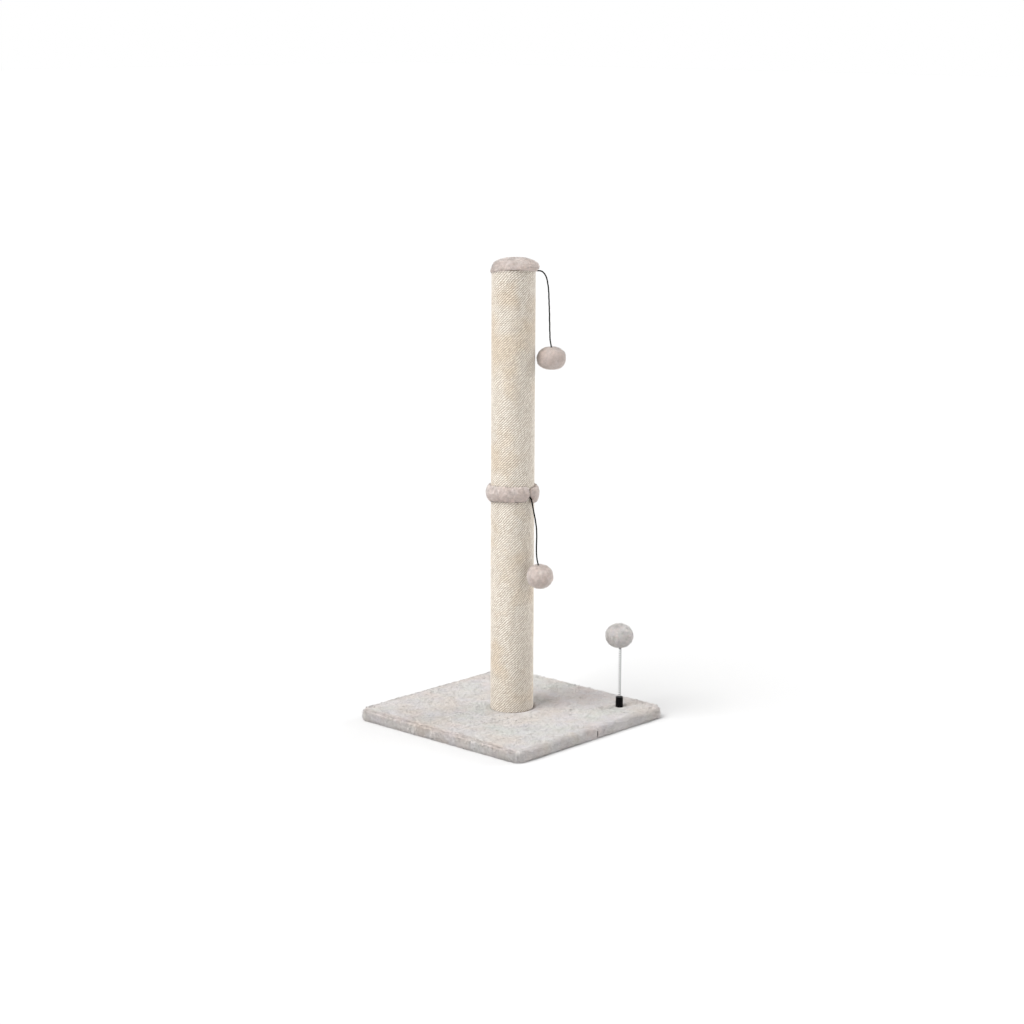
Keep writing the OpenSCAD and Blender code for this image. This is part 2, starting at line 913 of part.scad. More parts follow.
module spring_screw() {
    color(steel)
        at_spring_toy(holder_floor_z) {
            cylinder(r = spring_screw_head_r, h = spring_screw_head_t);
            translate([0, 0, -spring_screw_l])
                cylinder(r = screw_r, h = spring_screw_l + eps);
        }
}

module toy_spring() {
    color(steel)
        at_spring_toy(spring_z0)
            swept_tube(spring_points, outward(spring_points), wire_d, loop_sides);
}

// Plastic plug in the ball, whose spigot fills the spring's top turns
module spring_toy_plug() {
    color(black)
        at_spring_toy(plug_disc_z) {
            cylinder(r = plug_disc_r, h = plug_disc_t);
            translate([0, 0, -spigot_l])
                cylinder(r = spigot_r, h = spigot_l + eps);
        }
}

module spring_toy_core() {
    at_spring_toy(spring_ball_z)
        ball_core(spring_ball_w, spring_ball_h, plug_disc_r + soft_gap,
            plug_disc_z - spring_ball_z, plug_disc_r + soft_gap, plug_disc_t + soft_gap, -1);
}

module spring_toy_cover() {
    at_spring_toy(spring_ball_z)
        ball_cover(spring_ball_w, spring_ball_h, spring_d / 2 + soft_gap, -1);
}

base_board();
base_cover();
base_lining();
base_pads();
cover_staples();
base_bolt();
base_washer();
lower_tube();
lower_rope();
lower_foot_plug();
lower_head_plug();
upper_tube();
upper_rope();
upper_foot_plug();
upper_head_plug();
tee_nuts();
plug_tacks();
joint_stud();
collar_cover();
collar_filling();
cap_disc();
cap_pad();
cap_cover();
cap_screws();
cord_anchor_knots();
upper_toy_cord();
upper_toy_knot();
upper_toy_core();
upper_toy_cover();
lower_toy_cord();
lower_toy_knot();
lower_toy_core();
lower_toy_cover();
spring_holder();
spring_screw();
toy_spring();
spring_toy_plug();
spring_toy_core();
spring_toy_cover();
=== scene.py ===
"""Looks of a sisal scratching post on a plush base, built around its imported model."""

import json
import math

import bpy
import numpy as np
from bpy.props import FloatProperty, FloatVectorProperty, IntProperty, PointerProperty
from mathutils import Matrix, Vector


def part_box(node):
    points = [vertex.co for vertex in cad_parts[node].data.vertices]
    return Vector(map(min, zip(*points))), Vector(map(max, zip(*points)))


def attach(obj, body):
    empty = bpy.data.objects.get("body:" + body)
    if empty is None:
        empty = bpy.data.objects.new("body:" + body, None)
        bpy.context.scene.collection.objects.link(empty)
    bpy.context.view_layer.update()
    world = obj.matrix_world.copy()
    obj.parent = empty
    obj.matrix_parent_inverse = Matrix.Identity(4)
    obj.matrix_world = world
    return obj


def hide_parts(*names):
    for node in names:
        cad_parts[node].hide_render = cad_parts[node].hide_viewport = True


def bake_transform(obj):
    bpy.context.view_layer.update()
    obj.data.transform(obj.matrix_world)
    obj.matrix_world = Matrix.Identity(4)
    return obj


bl_info = {
    "name": "Scratching Post",
    "version": (1, 0, 0),
    "blender": (4, 5, 0),
    "location": "View3D > Sidebar > Post",
    "description": "Builds the rope, plush, cords and spring of a scratching post",
    "category": "Object",
}

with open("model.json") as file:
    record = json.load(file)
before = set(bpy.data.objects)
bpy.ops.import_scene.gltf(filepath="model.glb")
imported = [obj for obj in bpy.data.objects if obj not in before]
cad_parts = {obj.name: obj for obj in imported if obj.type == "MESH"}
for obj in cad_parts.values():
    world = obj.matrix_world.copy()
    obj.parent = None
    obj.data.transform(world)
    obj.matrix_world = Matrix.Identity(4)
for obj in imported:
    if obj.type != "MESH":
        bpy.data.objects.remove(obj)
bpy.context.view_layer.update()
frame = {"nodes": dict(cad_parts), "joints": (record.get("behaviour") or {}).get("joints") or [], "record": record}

MM = 0.001
TURN = 2 * math.pi
IMAGE_W = 1024
SENSOR = 36.0

# Levels and radii that come from the frame
POST_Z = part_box("lower_tube")[0].z
POST_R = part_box("lower_rope")[1].x
TUBE_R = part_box("lower_tube")[1].x
JOINT_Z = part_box("lower_tube")[1].z
HEAD_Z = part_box("upper_tube")[1].z
BASE_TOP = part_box("base_cover")[1].z
BASE_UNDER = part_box("base_cover")[0].z
BASE_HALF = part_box("base_cover")[1].x
BOARD_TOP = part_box("base_board")[1].z
BOARD_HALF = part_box("base_board")[1].x

UPPER_ANGLE = math.radians(-45)
LOWER_ANGLE = math.radians(-93)

# Routes of the hanging cords in the plane of each toy, as steps outward and upward in
# millimetres from the mouth of the cord's hole in the rope
UPPER_ROUTE = [
    (0, 0), (3.5, 0), (6.5, 0), (9.5, -0.5), (12.5, -2), (15, -4.5), (17.5, -8), (19.5, -12.5),
    (21, -18), (22, -24), (23, -30), (23.5, -36), (24, -42), (24, -48), (24.5, -54), (24.5, -60),
    (25, -66), (25, -72), (25.5, -78), (25.5, -84), (25.5, -90), (26, -96), (26, -102),
    (26, -108), (26.5, -114), (26.5, -120), (27, -126), (28, -132), (29, -138), (29, -144),
    (29, -150),
]
LOWER_ROUTE = [
    (0, 0), (3, -0.5), (5.5, -2.5), (7, -6), (8.5, -11), (10, -16.5), (11.5, -22), (13.5, -28),
    (15.5, -34), (17.5, -40), (19, -46), (20.5, -52), (21.5, -58), (22, -64), (22.5, -70),
    (22.5, -76), (22.5, -82), (22.5, -88), (22.8, -94), (23.2, -100), (24, -106), (25.2, -112),
    (27, -118), (28.5, -124), (29, -131),
]
# How far that cord lies aside at some depths, in millimetres: it leaves the collar through
# its parting, which is a little beside the hole in the rope
LOWER_ASIDE = ((0, 0.5, 2.5, 6, 20, 80, 116, 131), (0, 1.3, 2.3, 2.6, 2.6, 0.5, -1, 0))
PARTING_ANGLE = LOWER_ANGLE + math.radians(3.3)
# The straight end of each cord, from the knot in its plug to the hole, in millimetres
HELD_END = [(-13.5, 0), (-6.75, 0)]
# Real lengths of the cords from knot to knot, in metres
UPPER_LENGTH = 0.177
LOWER_LENGTH = 0.151


def measure(name, description, default):
    """A length that the user can change, with its default in millimetres."""
    return FloatProperty(name=name, description=description, default=default * MM, unit="LENGTH")


class PostSizes(bpy.types.PropertyGroup):
    """Sizes of the post's finishes"""

    rope_d: measure("Rope thickness", "Thickness of the sisal rope", 4)
    strand_marks: IntProperty(
        name="Strand marks", description="Strands of the rope that show in one turn of it",
        default=46)
    strand_depth: measure("Strand depth", "Depth of the valleys between the rope's strands", 0.9)
    loose_fibres: IntProperty(
        name="Loose fibres", description="Fibres that stand off the rope of one section",
        default=520)
    cord_d: measure("Cord thickness", "Thickness of the elastic cords", 2.7)
    cord_drop: measure("Cord drop", "Depth of a cord below the top of its section", 2.3)
    pile: measure("Pile", "Length of the plush's tufts on the base", 4.6)
    toy_pile: measure("Toy pile", "Length of the plush's tufts on cap, collar and balls", 3.4)
    wire_d: measure("Wire thickness", "Thickness of the spring's wire", 0.95)
    spring_turns: IntProperty(
        name="Spring turns", description="Turns of the toy's spring", default=26)


def tint(name, description, default):
    """A colour that the user can change."""
    return FloatVectorProperty(
        name=name, description=description, default=default, subtype="COLOR", min=0, max=1)


class PostColours(bpy.types.PropertyGroup):
    """Colours of the post's finishes, as linear values"""

    base_plush: tint("Base plush", "Main colour of the base's plush", (0.745, 0.73, 0.705))
    base_blush: tint("Base blush", "Rosy patches of the base's plush", (0.74, 0.665, 0.645))
    base_moss: tint("Base moss", "Cool patches of the base's plush", (0.685, 0.72, 0.675))
    base_lilac: tint("Base lilac", "Bluish patches of the base's plush", (0.71, 0.70, 0.735))
    base_sand: tint("Base sand", "Sandy patches of the base's plush", (0.73, 0.67, 0.605))
    warm_plush: tint("Warm plush", "Main colour of cap, collar and balls", (0.97, 0.82, 0.74))
    warm_pale: tint("Warm plush, pale", "Pale patches of cap, collar and balls", (1.0, 0.92, 0.86))
    sisal_pale: tint("Sisal, pale", "Pale fibres of the rope", (1.0, 0.945, 0.855))
    sisal_tan: tint("Sisal, tan", "Darker fibres of the rope", (0.64, 0.52, 0.38))
    # Painted shade for the valleys between the rope's strands
    sisal_valley_shade: tint("Sisal, dark", "Fibres between the rope's strands", (0.33, 0.235, 0.16))
    cord: tint("Cord", "Colour of the elastic cords", (0.004, 0.004, 0.0045))
    plastic: tint("Plastic", "Colour of the spring's holder", (0.003, 0.003, 0.0035))


# Fields and meshes


def ripple(points, size, seed, waves=16):
    """Smooth field of about -1 to 1 over points, whose hills are about size across."""
    rng = np.random.default_rng(seed)
    ways = rng.normal(size=(waves, 3))
    ways /= np.linalg.norm(ways, axis=1)[:, None]
    lengths = size * rng.uniform(1.1, 2.6, waves)
    starts = rng.uniform(0, TURN, waves)
    field = np.zeros(points.shape[:-1])
    for way, length, start in zip(ways, lengths, starts):
        field += np.sin(points @ way * (TURN / length) + start)
    return field / math.sqrt(2 * waves)


def ease(value, low, high):
    """0 below low and 1 above high, smooth in between."""
    t = np.clip((value - low) / (high - low), 0, 1)
    return t * t * (3 - 2 * t)


def unit(vectors):
    """Vectors at length 1."""
    return vectors / np.maximum(np.linalg.norm(vectors, axis=-1, keepdims=True), 1e-12)


def ring_faces(rows, columns, closed_rows=False):
    """Quads of a grid of points whose columns go round, and whose rows do too if closed."""
    steps = rows if closed_rows else rows - 1
    i, j = np.meshgrid(np.arange(steps), np.arange(columns), indexing="ij")
    i2, j2 = (i + 1) % rows, (j + 1) % columns
    corners = [i * columns + j, i * columns + j2, i2 * columns + j2, i2 * columns + j]
    return np.stack(corners, axis=-1).reshape(-1, 4)


def volume(points, faces):
    """Volume inside faces, negative where they are inside out."""
    fan = [points[faces[:, [0, k, k + 1]]] for k in range(1, faces.shape[1] - 1)]
    return sum((t[:, 0] * np.cross(t[:, 1], t[:, 2])).sum() for t in fan) / 6


def add(name, data):
    """A new object in the scene."""
    made = bpy.data.objects.new(name, data)
    bpy.context.scene.collection.objects.link(made)
    return made


def mesh_piece(name, points, faces, material, caps=()):
    """A smooth piece from an array of points and one of faces, all with as many corners."""
    points = np.ascontiguousarray(points, float).reshape(-1, 3)
    faces = np.asarray(faces)
    polygons = faces.tolist() + [list(cap) for cap in caps]
    mesh = bpy.data.meshes.new(name)
    mesh.from_pydata(points, [], polygons)
    mesh.update()
    if volume(points, faces) < 0:
        mesh.flip_normals()
    mesh.polygons.foreach_set("use_smooth", np.ones(len(mesh.polygons), bool))
    mesh.materials.append(material)
    return add(name, mesh)


def grid_piece(name, grid, material, closed_rows=False):
    """A piece from a grid of points whose columns go round. Open rows end in flat caps."""
    rows, columns = grid.shape[:2]
    ends = () if closed_rows else (range(columns), range((rows - 1) * columns, rows * columns))
    return mesh_piece(name, grid, ring_faces(rows, columns, closed_rows), material, ends)


def mark(piece, name, values):
    """Gives a piece's points a number or a vector each, for its material to read."""
    values = np.ascontiguousarray(values, np.float32)
    kind, key = ("FLOAT", "value") if values.ndim == 1 else ("FLOAT_VECTOR", "vector")
    attribute = piece.data.attributes.new(name, kind, "POINT")
    attribute.data.foreach_set(key, values.ravel())
    return piece


def read(items, key, width=1, kind=float):
    """One value of every item of a mesh's list, or a row of them for each."""
    values = np.zeros(len(items) * width, kind)
    items.foreach_get(key, values)
    return values.reshape(-1, width) if width > 1 else values


def surface(piece):
    """Points, triangles and point normals of a piece's mesh."""
    mesh = piece.data
    mesh.calc_loop_triangles()
    return (read(mesh.vertices, "co", 3), read(mesh.loop_triangles, "vertices", 3, np.int32),
            read(mesh.vertices, "normal", 3))


def spline(points, step):
    """A smooth line through points, with its own points about step apart."""
    p = np.asarray(points, float)
    p = np.vstack([2 * p[0] - p[1], p, 2 * p[-1] - p[-2]])
    line = []
    for a, b, c, d in zip(p[:-3], p[1:-2], p[2:-1], p[3:]):
        count = max(2, round(float(np.linalg.norm(c - b)) / step))
        t = np.linspace(0, 1, count, endpoint=False)[:, None]
        bend = 2 * a - 5 * b + 4 * c - d
        line.append(b + t * (c - a) / 2 + t**2 * bend / 2 + t**3 * (3 * b - 3 * c + d - a) / 2)
    return np.vstack([*line, p[-2]])


def tube(line, radius, sides, guide):
    """Rings round a line. The radius is one number or one for each point of each ring."""
    way = unit(np.gradient(line, axis=0))
    first = unit(guide - (guide * way).sum(1)[:, None] * way)
    second = np.cross(way, first)
    turn = TURN * np.arange(sides) / sides
    spokes = (np.cos(turn)[None, :, None] * first[:, None]
              + np.sin(turn)[None, :, None] * second[:, None])
    return line[:, None] + np.asarray(radius)[..., None] * spokes


# Materials


GROUPS = {}
FINISHES = {}


def node(tree, kind, inputs=None, **settings):
    """Adds a node, sets its properties, and fills its inputs with values or with links."""
    made = tree.nodes.new(kind)
    for name, value in settings.items():
        setattr(made, name, value)
    for name, value in (inputs or {}).items():
        if isinstance(value, bpy.types.NodeSocket):
            tree.links.new(value, made.inputs[name])
        else:
            made.inputs[name].default_value = value
    return made


def math_node(tree, operation, *values):
    """The result of a sum on values or links."""
    return node(tree, "ShaderNodeMath", dict(enumerate(values)), operation=operation).outputs[0]


def blend_node(tree, factor, first, second, way="MIX"):
    """The colour between two colours or links."""
    mixed = node(tree, "ShaderNodeMix", {0: factor, 6: first, 7: second},
                 data_type="RGBA", blend_type=way)
    return mixed.outputs[2]


def spread_node(tree, value, low, high, new_low=0.0, new_high=1.0):
    """A value's range from low to high, spread from new_low to new_high."""
    spread = node(tree, "ShaderNodeMapRange", {
        "Value": value, "From Min": low, "From Max": high, "To Min": new_low, "To Max": new_high})
    return spread.outputs["Result"]


def noise_node(tree, vector, scale, detail=2.0, roughness=0.5):
    """A noise from 0 to 1."""
    return node(tree, "ShaderNodeTexNoise", {
        "Vector": vector, "Scale": scale, "Detail": detail, "Roughness": roughness},
    ).outputs["Fac"]


def new_group(name, inputs, outputs):
    """An empty shader node group with named sockets. Returns it with its two end nodes."""
    tree = bpy.data.node_groups.new(name, "ShaderNodeTree")
    for way, sockets in (("INPUT", inputs), ("OUTPUT", outputs)):
        for label, kind in sockets.items():
            tree.interface.new_socket(label, in_out=way, socket_type=f"NodeSocket{kind}")
    return tree, tree.nodes.new("NodeGroupInput"), tree.nodes.new("NodeGroupOutput")


def place(tree):
    """Where a point lies in the piece's own space, in metres."""
    return node(tree, "ShaderNodeTexCoord").outputs["Object"]


def mottle_group():
    """Soft patches of two more colours over a main one."""
    tree, given, result = new_group(
        "Mottle", {"Main": "Color", "Patch": "Color", "Cloud": "Color", "Scale": "Float",
                   "Amount": "Float"}, {"Color": "Color"})
    where = place(tree)
    patch = noise_node(tree, where, given.outputs["Scale"], 5, 0.6)
    patch = spread_node(tree, patch, 0.42, 0.66)
    patch = math_node(tree, "MULTIPLY", patch, given.outputs["Amount"])
    shifted = node(tree, "ShaderNodeVectorMath", {0: where, 1: (3.1, 7.7, 1.3)}, operation="ADD")
    wide = math_node(tree, "MULTIPLY", given.outputs["Scale"], 0.62)
    cloud = noise_node(tree, shifted.outputs[0], wide, 2, 0.5)
    cloud = spread_node(tree, cloud, 0.48, 0.68)
    cloud = math_node(tree, "MULTIPLY", cloud, given.outputs["Amount"])
    colour = blend_node(tree, patch, given.outputs["Main"], given.outputs["Patch"])
    colour = blend_node(tree, cloud, colour, given.outputs["Cloud"])
    tree.links.new(colour, result.inputs["Color"])
    return tree


def grain_group():
    """Fine grain, as a mask that also serves as the height of a bump."""
    tree, given, result = new_group("Grain", {"Scale": "Float"}, {"Mask": "Float"})
    fine = noise_node(tree, place(tree), given.outputs["Scale"], 4, 0.65)
    tree.links.new(fine, result.inputs["Mask"])
    return tree


def streaks_group():
    """Long fine streaks along the first axis of a vector."""
    tree, given, result = new_group(
        "Streaks", {"Vector": "Vector", "Along": "Float", "Across": "Float"}, {"Mask": "Float"})
    scale = node(tree, "ShaderNodeCombineXYZ", {
        "X": given.outputs["Along"], "Y": given.outputs["Across"], "Z": given.outputs["Across"]})
    drawn = node(tree, "ShaderNodeVectorMath", {0: given.outputs["Vector"], 1: scale.outputs[0]},
                 operation="MULTIPLY")
    streaks = noise_node(tree, drawn.outputs[0], 1.0, 3, 0.6)
    tree.links.new(spread_node(tree, streaks, 0.3, 0.7), result.inputs["Mask"])
    return tree


def use_group(tree, group, **inputs):
    """Places a shared node group with its own values."""
    return node(tree, "ShaderNodeGroup", inputs, node_tree=GROUPS[group]).outputs


def finish_of(name, **constants):
    """A new material with its shader, whose constant sockets are set on the shader itself."""
    material = bpy.data.materials.new(name)
    material.use_nodes = True
    tree = material.node_tree
    shader = tree.nodes["Principled BSDF"]
    for socket, value in constants.items():
        shader.inputs[socket.replace("_", " ")].default_value = value
    return material, tree, shader


def feed(tree, shader, colour, rough, height, distance):
    """Feeds a finish's colour, its roughness and its fine relief to the shader."""
    raised = node(tree, "ShaderNodeBump", {
        "Height": height, "Distance": distance, "Strength": 1.0})
    for socket, value in (("Base Color", colour), ("Roughness", rough),
                          ("Normal", raised.outputs["Normal"])):
        tree.links.new(value, shader.inputs[socket])


def attribute(tree, name):
    """A number that the piece's points carry."""
    return node(tree, "ShaderNodeAttribute", attribute_name=name).outputs


def shade(colour, share):
    """A colour made darker or paler by a share."""
    return [min(1.0, c * share) for c in colour]


def full(colour, share=1.0):
    """A colour with its alpha, darker or paler by a share."""
    return (*shade(colour, share), 1.0)


def plush(name, main, patches, scale, amount, clump, sheen=0.3):
    """Short pile in four tints of soft patches and small clumps, with painted shade at its roots, on its skin and
    in its dark gaps.
    """
    material, tree, shader = finish_of(
        name, Sheen_Weight=sheen, Sheen_Roughness=0.6, Specular_IOR_Level=0.1)
    tints = [full(patch) for patch in patches]
    mottle = use_group(tree, "mottle", Main=full(main), Patch=tints[0], Cloud=tints[1],
                       Scale=scale, Amount=amount)["Color"]
    mottle = use_group(tree, "mottle", Main=mottle, Patch=tints[2], Cloud=tints[3],
                       Scale=scale * 1.7, Amount=amount * 0.8)["Color"]
    fine = use_group(tree, "grain", Scale=900.0)["Mask"]
    lift = attribute(tree, "lift")["Fac"]
    # Painted shade: where the attribute's value is below 0, in the seam's slit and along the base's lit edges, the
    # colour goes nearly black
    gap = spread_node(tree, lift, -0.8, 0, 1.0, 0.0)
    lift = spread_node(tree, lift, 0, 1)
    # Painted shade at the roots of the tufts and on the skin between them, mixed in by the attribute's value
    root_shade = blend_node(tree, 1.0, mottle, (0.80, 0.73, 0.70, 1), "MULTIPLY")
    colour = blend_node(tree, lift, root_shade, mottle)
    tuft = use_group(tree, "grain", Scale=170.0)["Mask"]
    tuft = spread_node(tree, tuft, 0.42, 0.6, clump, 0.0)
    colour = blend_node(tree, tuft, colour, full(main, 0.4))
    speck = spread_node(tree, fine, 0.3, 0.7, 0.0, 0.14)
    colour = blend_node(tree, speck, colour, (1, 1, 1, 1), "SCREEN")
    colour = blend_node(tree, gap, colour, full(main, 0.12))
    rough = spread_node(tree, fine, 0.3, 0.7, 0.86, 0.98)
    feed(tree, shader, colour, rough, fine, 0.6 * MM)
    return material


def sisal(colours):
    """Twisted sisal: pale and tan fibres along each strand, with painted shade in the valleys between strands and
    between turns.
    """
    material, tree, shader = finish_of(
        "sisal", Specular_IOR_Level=0.2, Sheen_Weight=0.1, Sheen_Roughness=0.35,
        Sheen_Tint=(1.0, 0.97, 0.97, 1))
    strand = attribute(tree, "strand")["Vector"]
    fibre = use_group(tree, "streaks", Vector=strand, Along=90.0, Across=3200.0)["Mask"]
    coarse = use_group(tree, "streaks", Vector=strand, Along=22.0, Across=700.0)["Mask"]
    mottle = use_group(
        tree, "mottle", Main=full(colours.sisal_pale), Patch=full(colours.sisal_pale, 0.88),
        Cloud=full(colours.sisal_tan, 1.35), Scale=26.0, Amount=0.45)["Color"]
    tan = math_node(tree, "MULTIPLY", fibre, coarse)
    tan = math_node(tree, "MULTIPLY", tan, 0.4)
    colour = blend_node(tree, tan, mottle, full(colours.sisal_tan))
    # Painted shade in the valleys and between the turns, with a random duller tone on each strand
    valley = spread_node(tree, attribute(tree, "valley")["Fac"], 0, 1, 0.0, 0.9)
    colour = blend_node(tree, valley, colour, full(colours.sisal_valley_shade))
    feed(tree, shader, colour, spread_node(tree, fibre, 0, 1, 0.62, 0.86), fibre, 0.25 * MM)
    return material


def braid(colours):
    """Matt black cover of an elastic cord, with a painted highlight on each raised crossing of its braid."""
    material, tree, shader = finish_of("braid", Specular_IOR_Level=0.0)
    fine = use_group(tree, "grain", Scale=4200.0)["Mask"]
    crossing = spread_node(tree, attribute(tree, "lift")["Fac"], 0, 1, 0.0, 0.35)
    colour = blend_node(tree, crossing, full(colours.cord), full(colours.cord, 3.0))
    feed(tree, shader, colour, spread_node(tree, fine, 0.3, 0.7, 0.8, 0.95), fine, 0.08 * MM)
    return material


def moulded(name, colour, grain, roughness):
    """Moulded plastic, rubber or foam sheet with a fine grain."""
    material, tree, shader = finish_of(name, Specular_IOR_Level=0.04)
    fine = use_group(tree, "grain", Scale=grain)["Mask"]
    mixed = blend_node(tree, fine, full(colour), full(colour, 1.9))
    rough = spread_node(tree, fine, 0.3, 0.7, roughness, roughness + 0.18)
    feed(tree, shader, mixed, rough, fine, 0.12 * MM)
    return material


def metal(name, colour, roughness, scale):
    """Drawn or plated metal with faint streaks and duller patches."""
    material, tree, shader = finish_of(name, Metallic=1.0)
    fine = use_group(tree, "grain", Scale=scale)["Mask"]
    mottle = use_group(tree, "mottle", Main=full(colour), Patch=full(colour, 0.8),
                       Cloud=full(colour, 1.1), Scale=180.0, Amount=0.6)["Color"]
    rough = spread_node(tree, fine, 0.3, 0.7, roughness, roughness + 0.16)
    feed(tree, shader, mottle, rough, fine, 0.02 * MM)
    return material


def timber(name, pale, dark, along, across, chips):
    """Wood, board or cardboard: streaks along the grain and fine chips."""
    material, tree, shader = finish_of(name, Specular_IOR_Level=0.3)
    streak = use_group(tree, "streaks", Vector=place(tree), Along=along, Across=across)["Mask"]
    chip = use_group(tree, "grain", Scale=chips)["Mask"]
    mask = math_node(tree, "MULTIPLY", streak, spread_node(tree, chip, 0.25, 0.6, 0.5, 1))
    colour = blend_node(tree, mask, full(pale), full(dark))
    feed(tree, shader, colour, spread_node(tree, chip, 0.3, 0.7, 0.6, 0.85), chip, 0.15 * MM)
    return material


def make_finishes(colours):
    """Makes the shared groups and every material, once."""
    foam, fibre = (0.80, 0.77, 0.66), (0.82, 0.82, 0.81)
    foam_tints = [shade(foam, share) for share in (0.94, 1.04, 0.9, 1.0)]
    fibre_tints = [shade(fibre, share) for share in (0.9, 1.06, 0.95, 1.0)]
    GROUPS.update(mottle=mottle_group(), grain=grain_group(), streaks=streaks_group())
    base = [colours.base_blush, colours.base_moss, colours.base_lilac, colours.base_sand]
    warm = [colours.warm_pale, shade(colours.warm_plush, 0.92), shade(colours.base_blush, 1.22),
            colours.warm_plush]
    grey = [shade(colours.base_blush, 1.2), shade(colours.base_blush, 1.1),
            shade(colours.base_lilac, 1.2), shade(colours.base_moss, 1.05)]
    FINISHES.update(
        base_plush=plush("base_plush", colours.base_plush, base, 17.0, 0.9, 0.07),
        warm_plush=plush("warm_plush", colours.warm_plush, warm, 50.0, 0.85, 0.35, 0.4),
        grey_plush=plush("grey_plush", shade(colours.base_plush, 1.25), grey, 70.0, 0.9, 0.35),
        sisal_rope=sisal(colours),
        elastic_cord=braid(colours),
        black_plastic=moulded("black_plastic", colours.plastic, 1600.0, 0.3),
        pad_rubber=moulded("pad_rubber", (0.02, 0.02, 0.021), 900.0, 0.75),
        lining=moulded("lining", (0.025, 0.025, 0.027), 2600.0, 0.85),
        spring_wire=metal("spring_wire", (0.12, 0.12, 0.123), 0.3, 2400.0),
        plated_steel=metal("plated_steel", (0.66, 0.66, 0.68), 0.3, 900.0),
        board=timber("board", (0.50, 0.34, 0.19), (0.34, 0.21, 0.11), 60.0, 90.0, 420.0),
        plug_wood=timber("plug_wood", (0.62, 0.44, 0.25), (0.46, 0.29, 0.14), 12.0, 260.0, 700.0),
        cardboard=timber("cardboard", (0.42, 0.27, 0.15), (0.33, 0.20, 0.10), 500.0, 40.0, 500.0),
        foam=plush("foam", foam, foam_tints, 120.0, 1, 0.1),
        fibre_filling=plush("fibre_filling", fibre, fibre_tints, 90.0, 1, 0.1),
    )


# Plush


def tufts(name, skin, count, length, finish, nap, lying, seed, where="furry", standing=0.25):
    """Short tapered tufts on a skin, where it says so. Most lie over along its nap."""
    rng = np.random.default_rng(seed)
    points, corners, normals = surface(skin)
    a, b, c = (points[corners[:, k]] for k in range(3))
    furry = read(skin.data.attributes[where].data, "value")
    size = np.linalg.norm(np.cross(b - a, c - a), axis=1) * furry[corners].min(axis=1)
    pick = rng.choice(len(size), count, p=size / size.sum())
    u, v = rng.random((2, count, 1))
    u, v = np.where(u + v > 1, 1 - u, u), np.where(u + v > 1, 1 - v, v)
    root = a[pick] + u * (b[pick] - a[pick]) + v * (c[pick] - a[pick])
    na, nb, nc = (normals[corners[pick, k]] for k in range(3))
    up = unit(na + u * (nb - na) + v * (nc - na))
    swirl = np.stack([ripple(root, 30 * MM, seed + k) for k in range(3)], axis=1)
    stray = rng.normal(size=(count, 3)) * 0.45
    lay = np.asarray(nap, float) + 0.5 * swirl + stray
    lay = unit(lay - (lay * up).sum(1)[:, None] * up)
    stands = rng.random(count) < standing
    lean = np.where(stands, rng.uniform(42, 68, count), rng.uniform(lying - 6, lying + 6, count))
    lean = np.radians(lean)[:, None]
    long = length * rng.uniform(0.7, 1.25, count)[:, None]
    tip = root + long * (np.cos(lean) * up + np.sin(lean) * lay)
    tip[:, 2] = np.maximum(tip[:, 2], 0.4 * MM)
    foot = root - 0.12 * length * up
    wide = 0.2 * long
    side = np.cross(up, lay)
    ridge = foot + (0.3 * wide + 0.15 * length) * up
    verts = np.stack([foot + wide * side, foot - wide * side, ridge, tip], axis=1)
    base = 4 * np.arange(count)[:, None]
    faces = np.concatenate([base + t for t in ([0, 2, 1], [0, 1, 3], [1, 2, 3], [2, 0, 3])])
    piece = mesh_piece(name, verts, faces, finish)
    # Each tuft takes its skin's painted shade; its root gets more painted shade, and its tip a random tone
    seen = read(skin.data.attributes["closed"].data, "value")[corners[pick]].mean(axis=1)
    lift = np.stack([0.5 * seen] * 3 + [rng.uniform(0.6, 1.1, count) * seen], axis=1)
    mark(piece, "lift", lift.ravel())
    # The tufts are lit nearly as the skin under them is
    lit = unit(0.9 * up + 0.2 * lay + 0.2 * rng.normal(size=(count, 3)))
    own = np.repeat(lit[:, None], 4, axis=1)
    piece.data.normals_split_custom_set_from_vertices(own.reshape(-1, 3))
    return piece


def skin_marks(piece, share=1.0, dark=False):
    """Painted shade for a plush skin and its pile, more where the skin looks down, and the skin's own painted
    shade, nearly black where dark is set.
    """
    closed = share * (0.78 + 0.22 * ease(surface(piece)[2][:, 2], -0.3, 0.9))
    mark(piece, "closed", closed)
    return mark(piece, "lift", np.where(dark, -1, 0.5 * closed))


CLOTH = {
    "quality": 6, "mass": 0.15, "vertex_group_mass": "held", "use_pressure": True,
    "uniform_pressure_force": 4.0, "tension_stiffness": 12, "compression_stiffness": 12,
    "bending_stiffness": 0.4,
}


def simulate(skins, held, most, frames=20):
    """Fills plush skins like stuffed cloth, each point moving no further than most."""
    before = [read(skin.data.vertices, "co", 3) for skin in skins]
    for skin, hold in zip(skins, held):
        pins = skin.vertex_groups.new(name="held")
        pins.add([int(i) for i in np.flatnonzero(hold)], 1.0, "REPLACE")
        cloth = skin.modifiers.new("cloth", "CLOTH")
        for setting, value in CLOTH.items():
            setattr(cloth.settings, setting, value)
        cloth.settings.effector_weights.gravity = 0.0
        cloth.point_cache.frame_start = 1
        cloth.point_cache.frame_end = frames
    for number in range(1, frames + 1):
        bpy.context.scene.frame_set(number)
    graph = bpy.context.evaluated_depsgraph_get()
    filled = [read(skin.evaluated_get(graph).data.vertices, "co", 3) for skin in skins]
    for skin, start, end in zip(skins, before, filled):
        skin.modifiers.clear()
        skin.vertex_groups.clear()
        step = end - start
        far = np.linalg.norm(step, axis=1, keepdims=True)
        step *= np.minimum(1, most / np.maximum(far, 1e-9))
        skin.data.vertices.foreach_set("co", (start + step).ravel())
        skin.data.update()
    bpy.context.scene.frame_set(1)


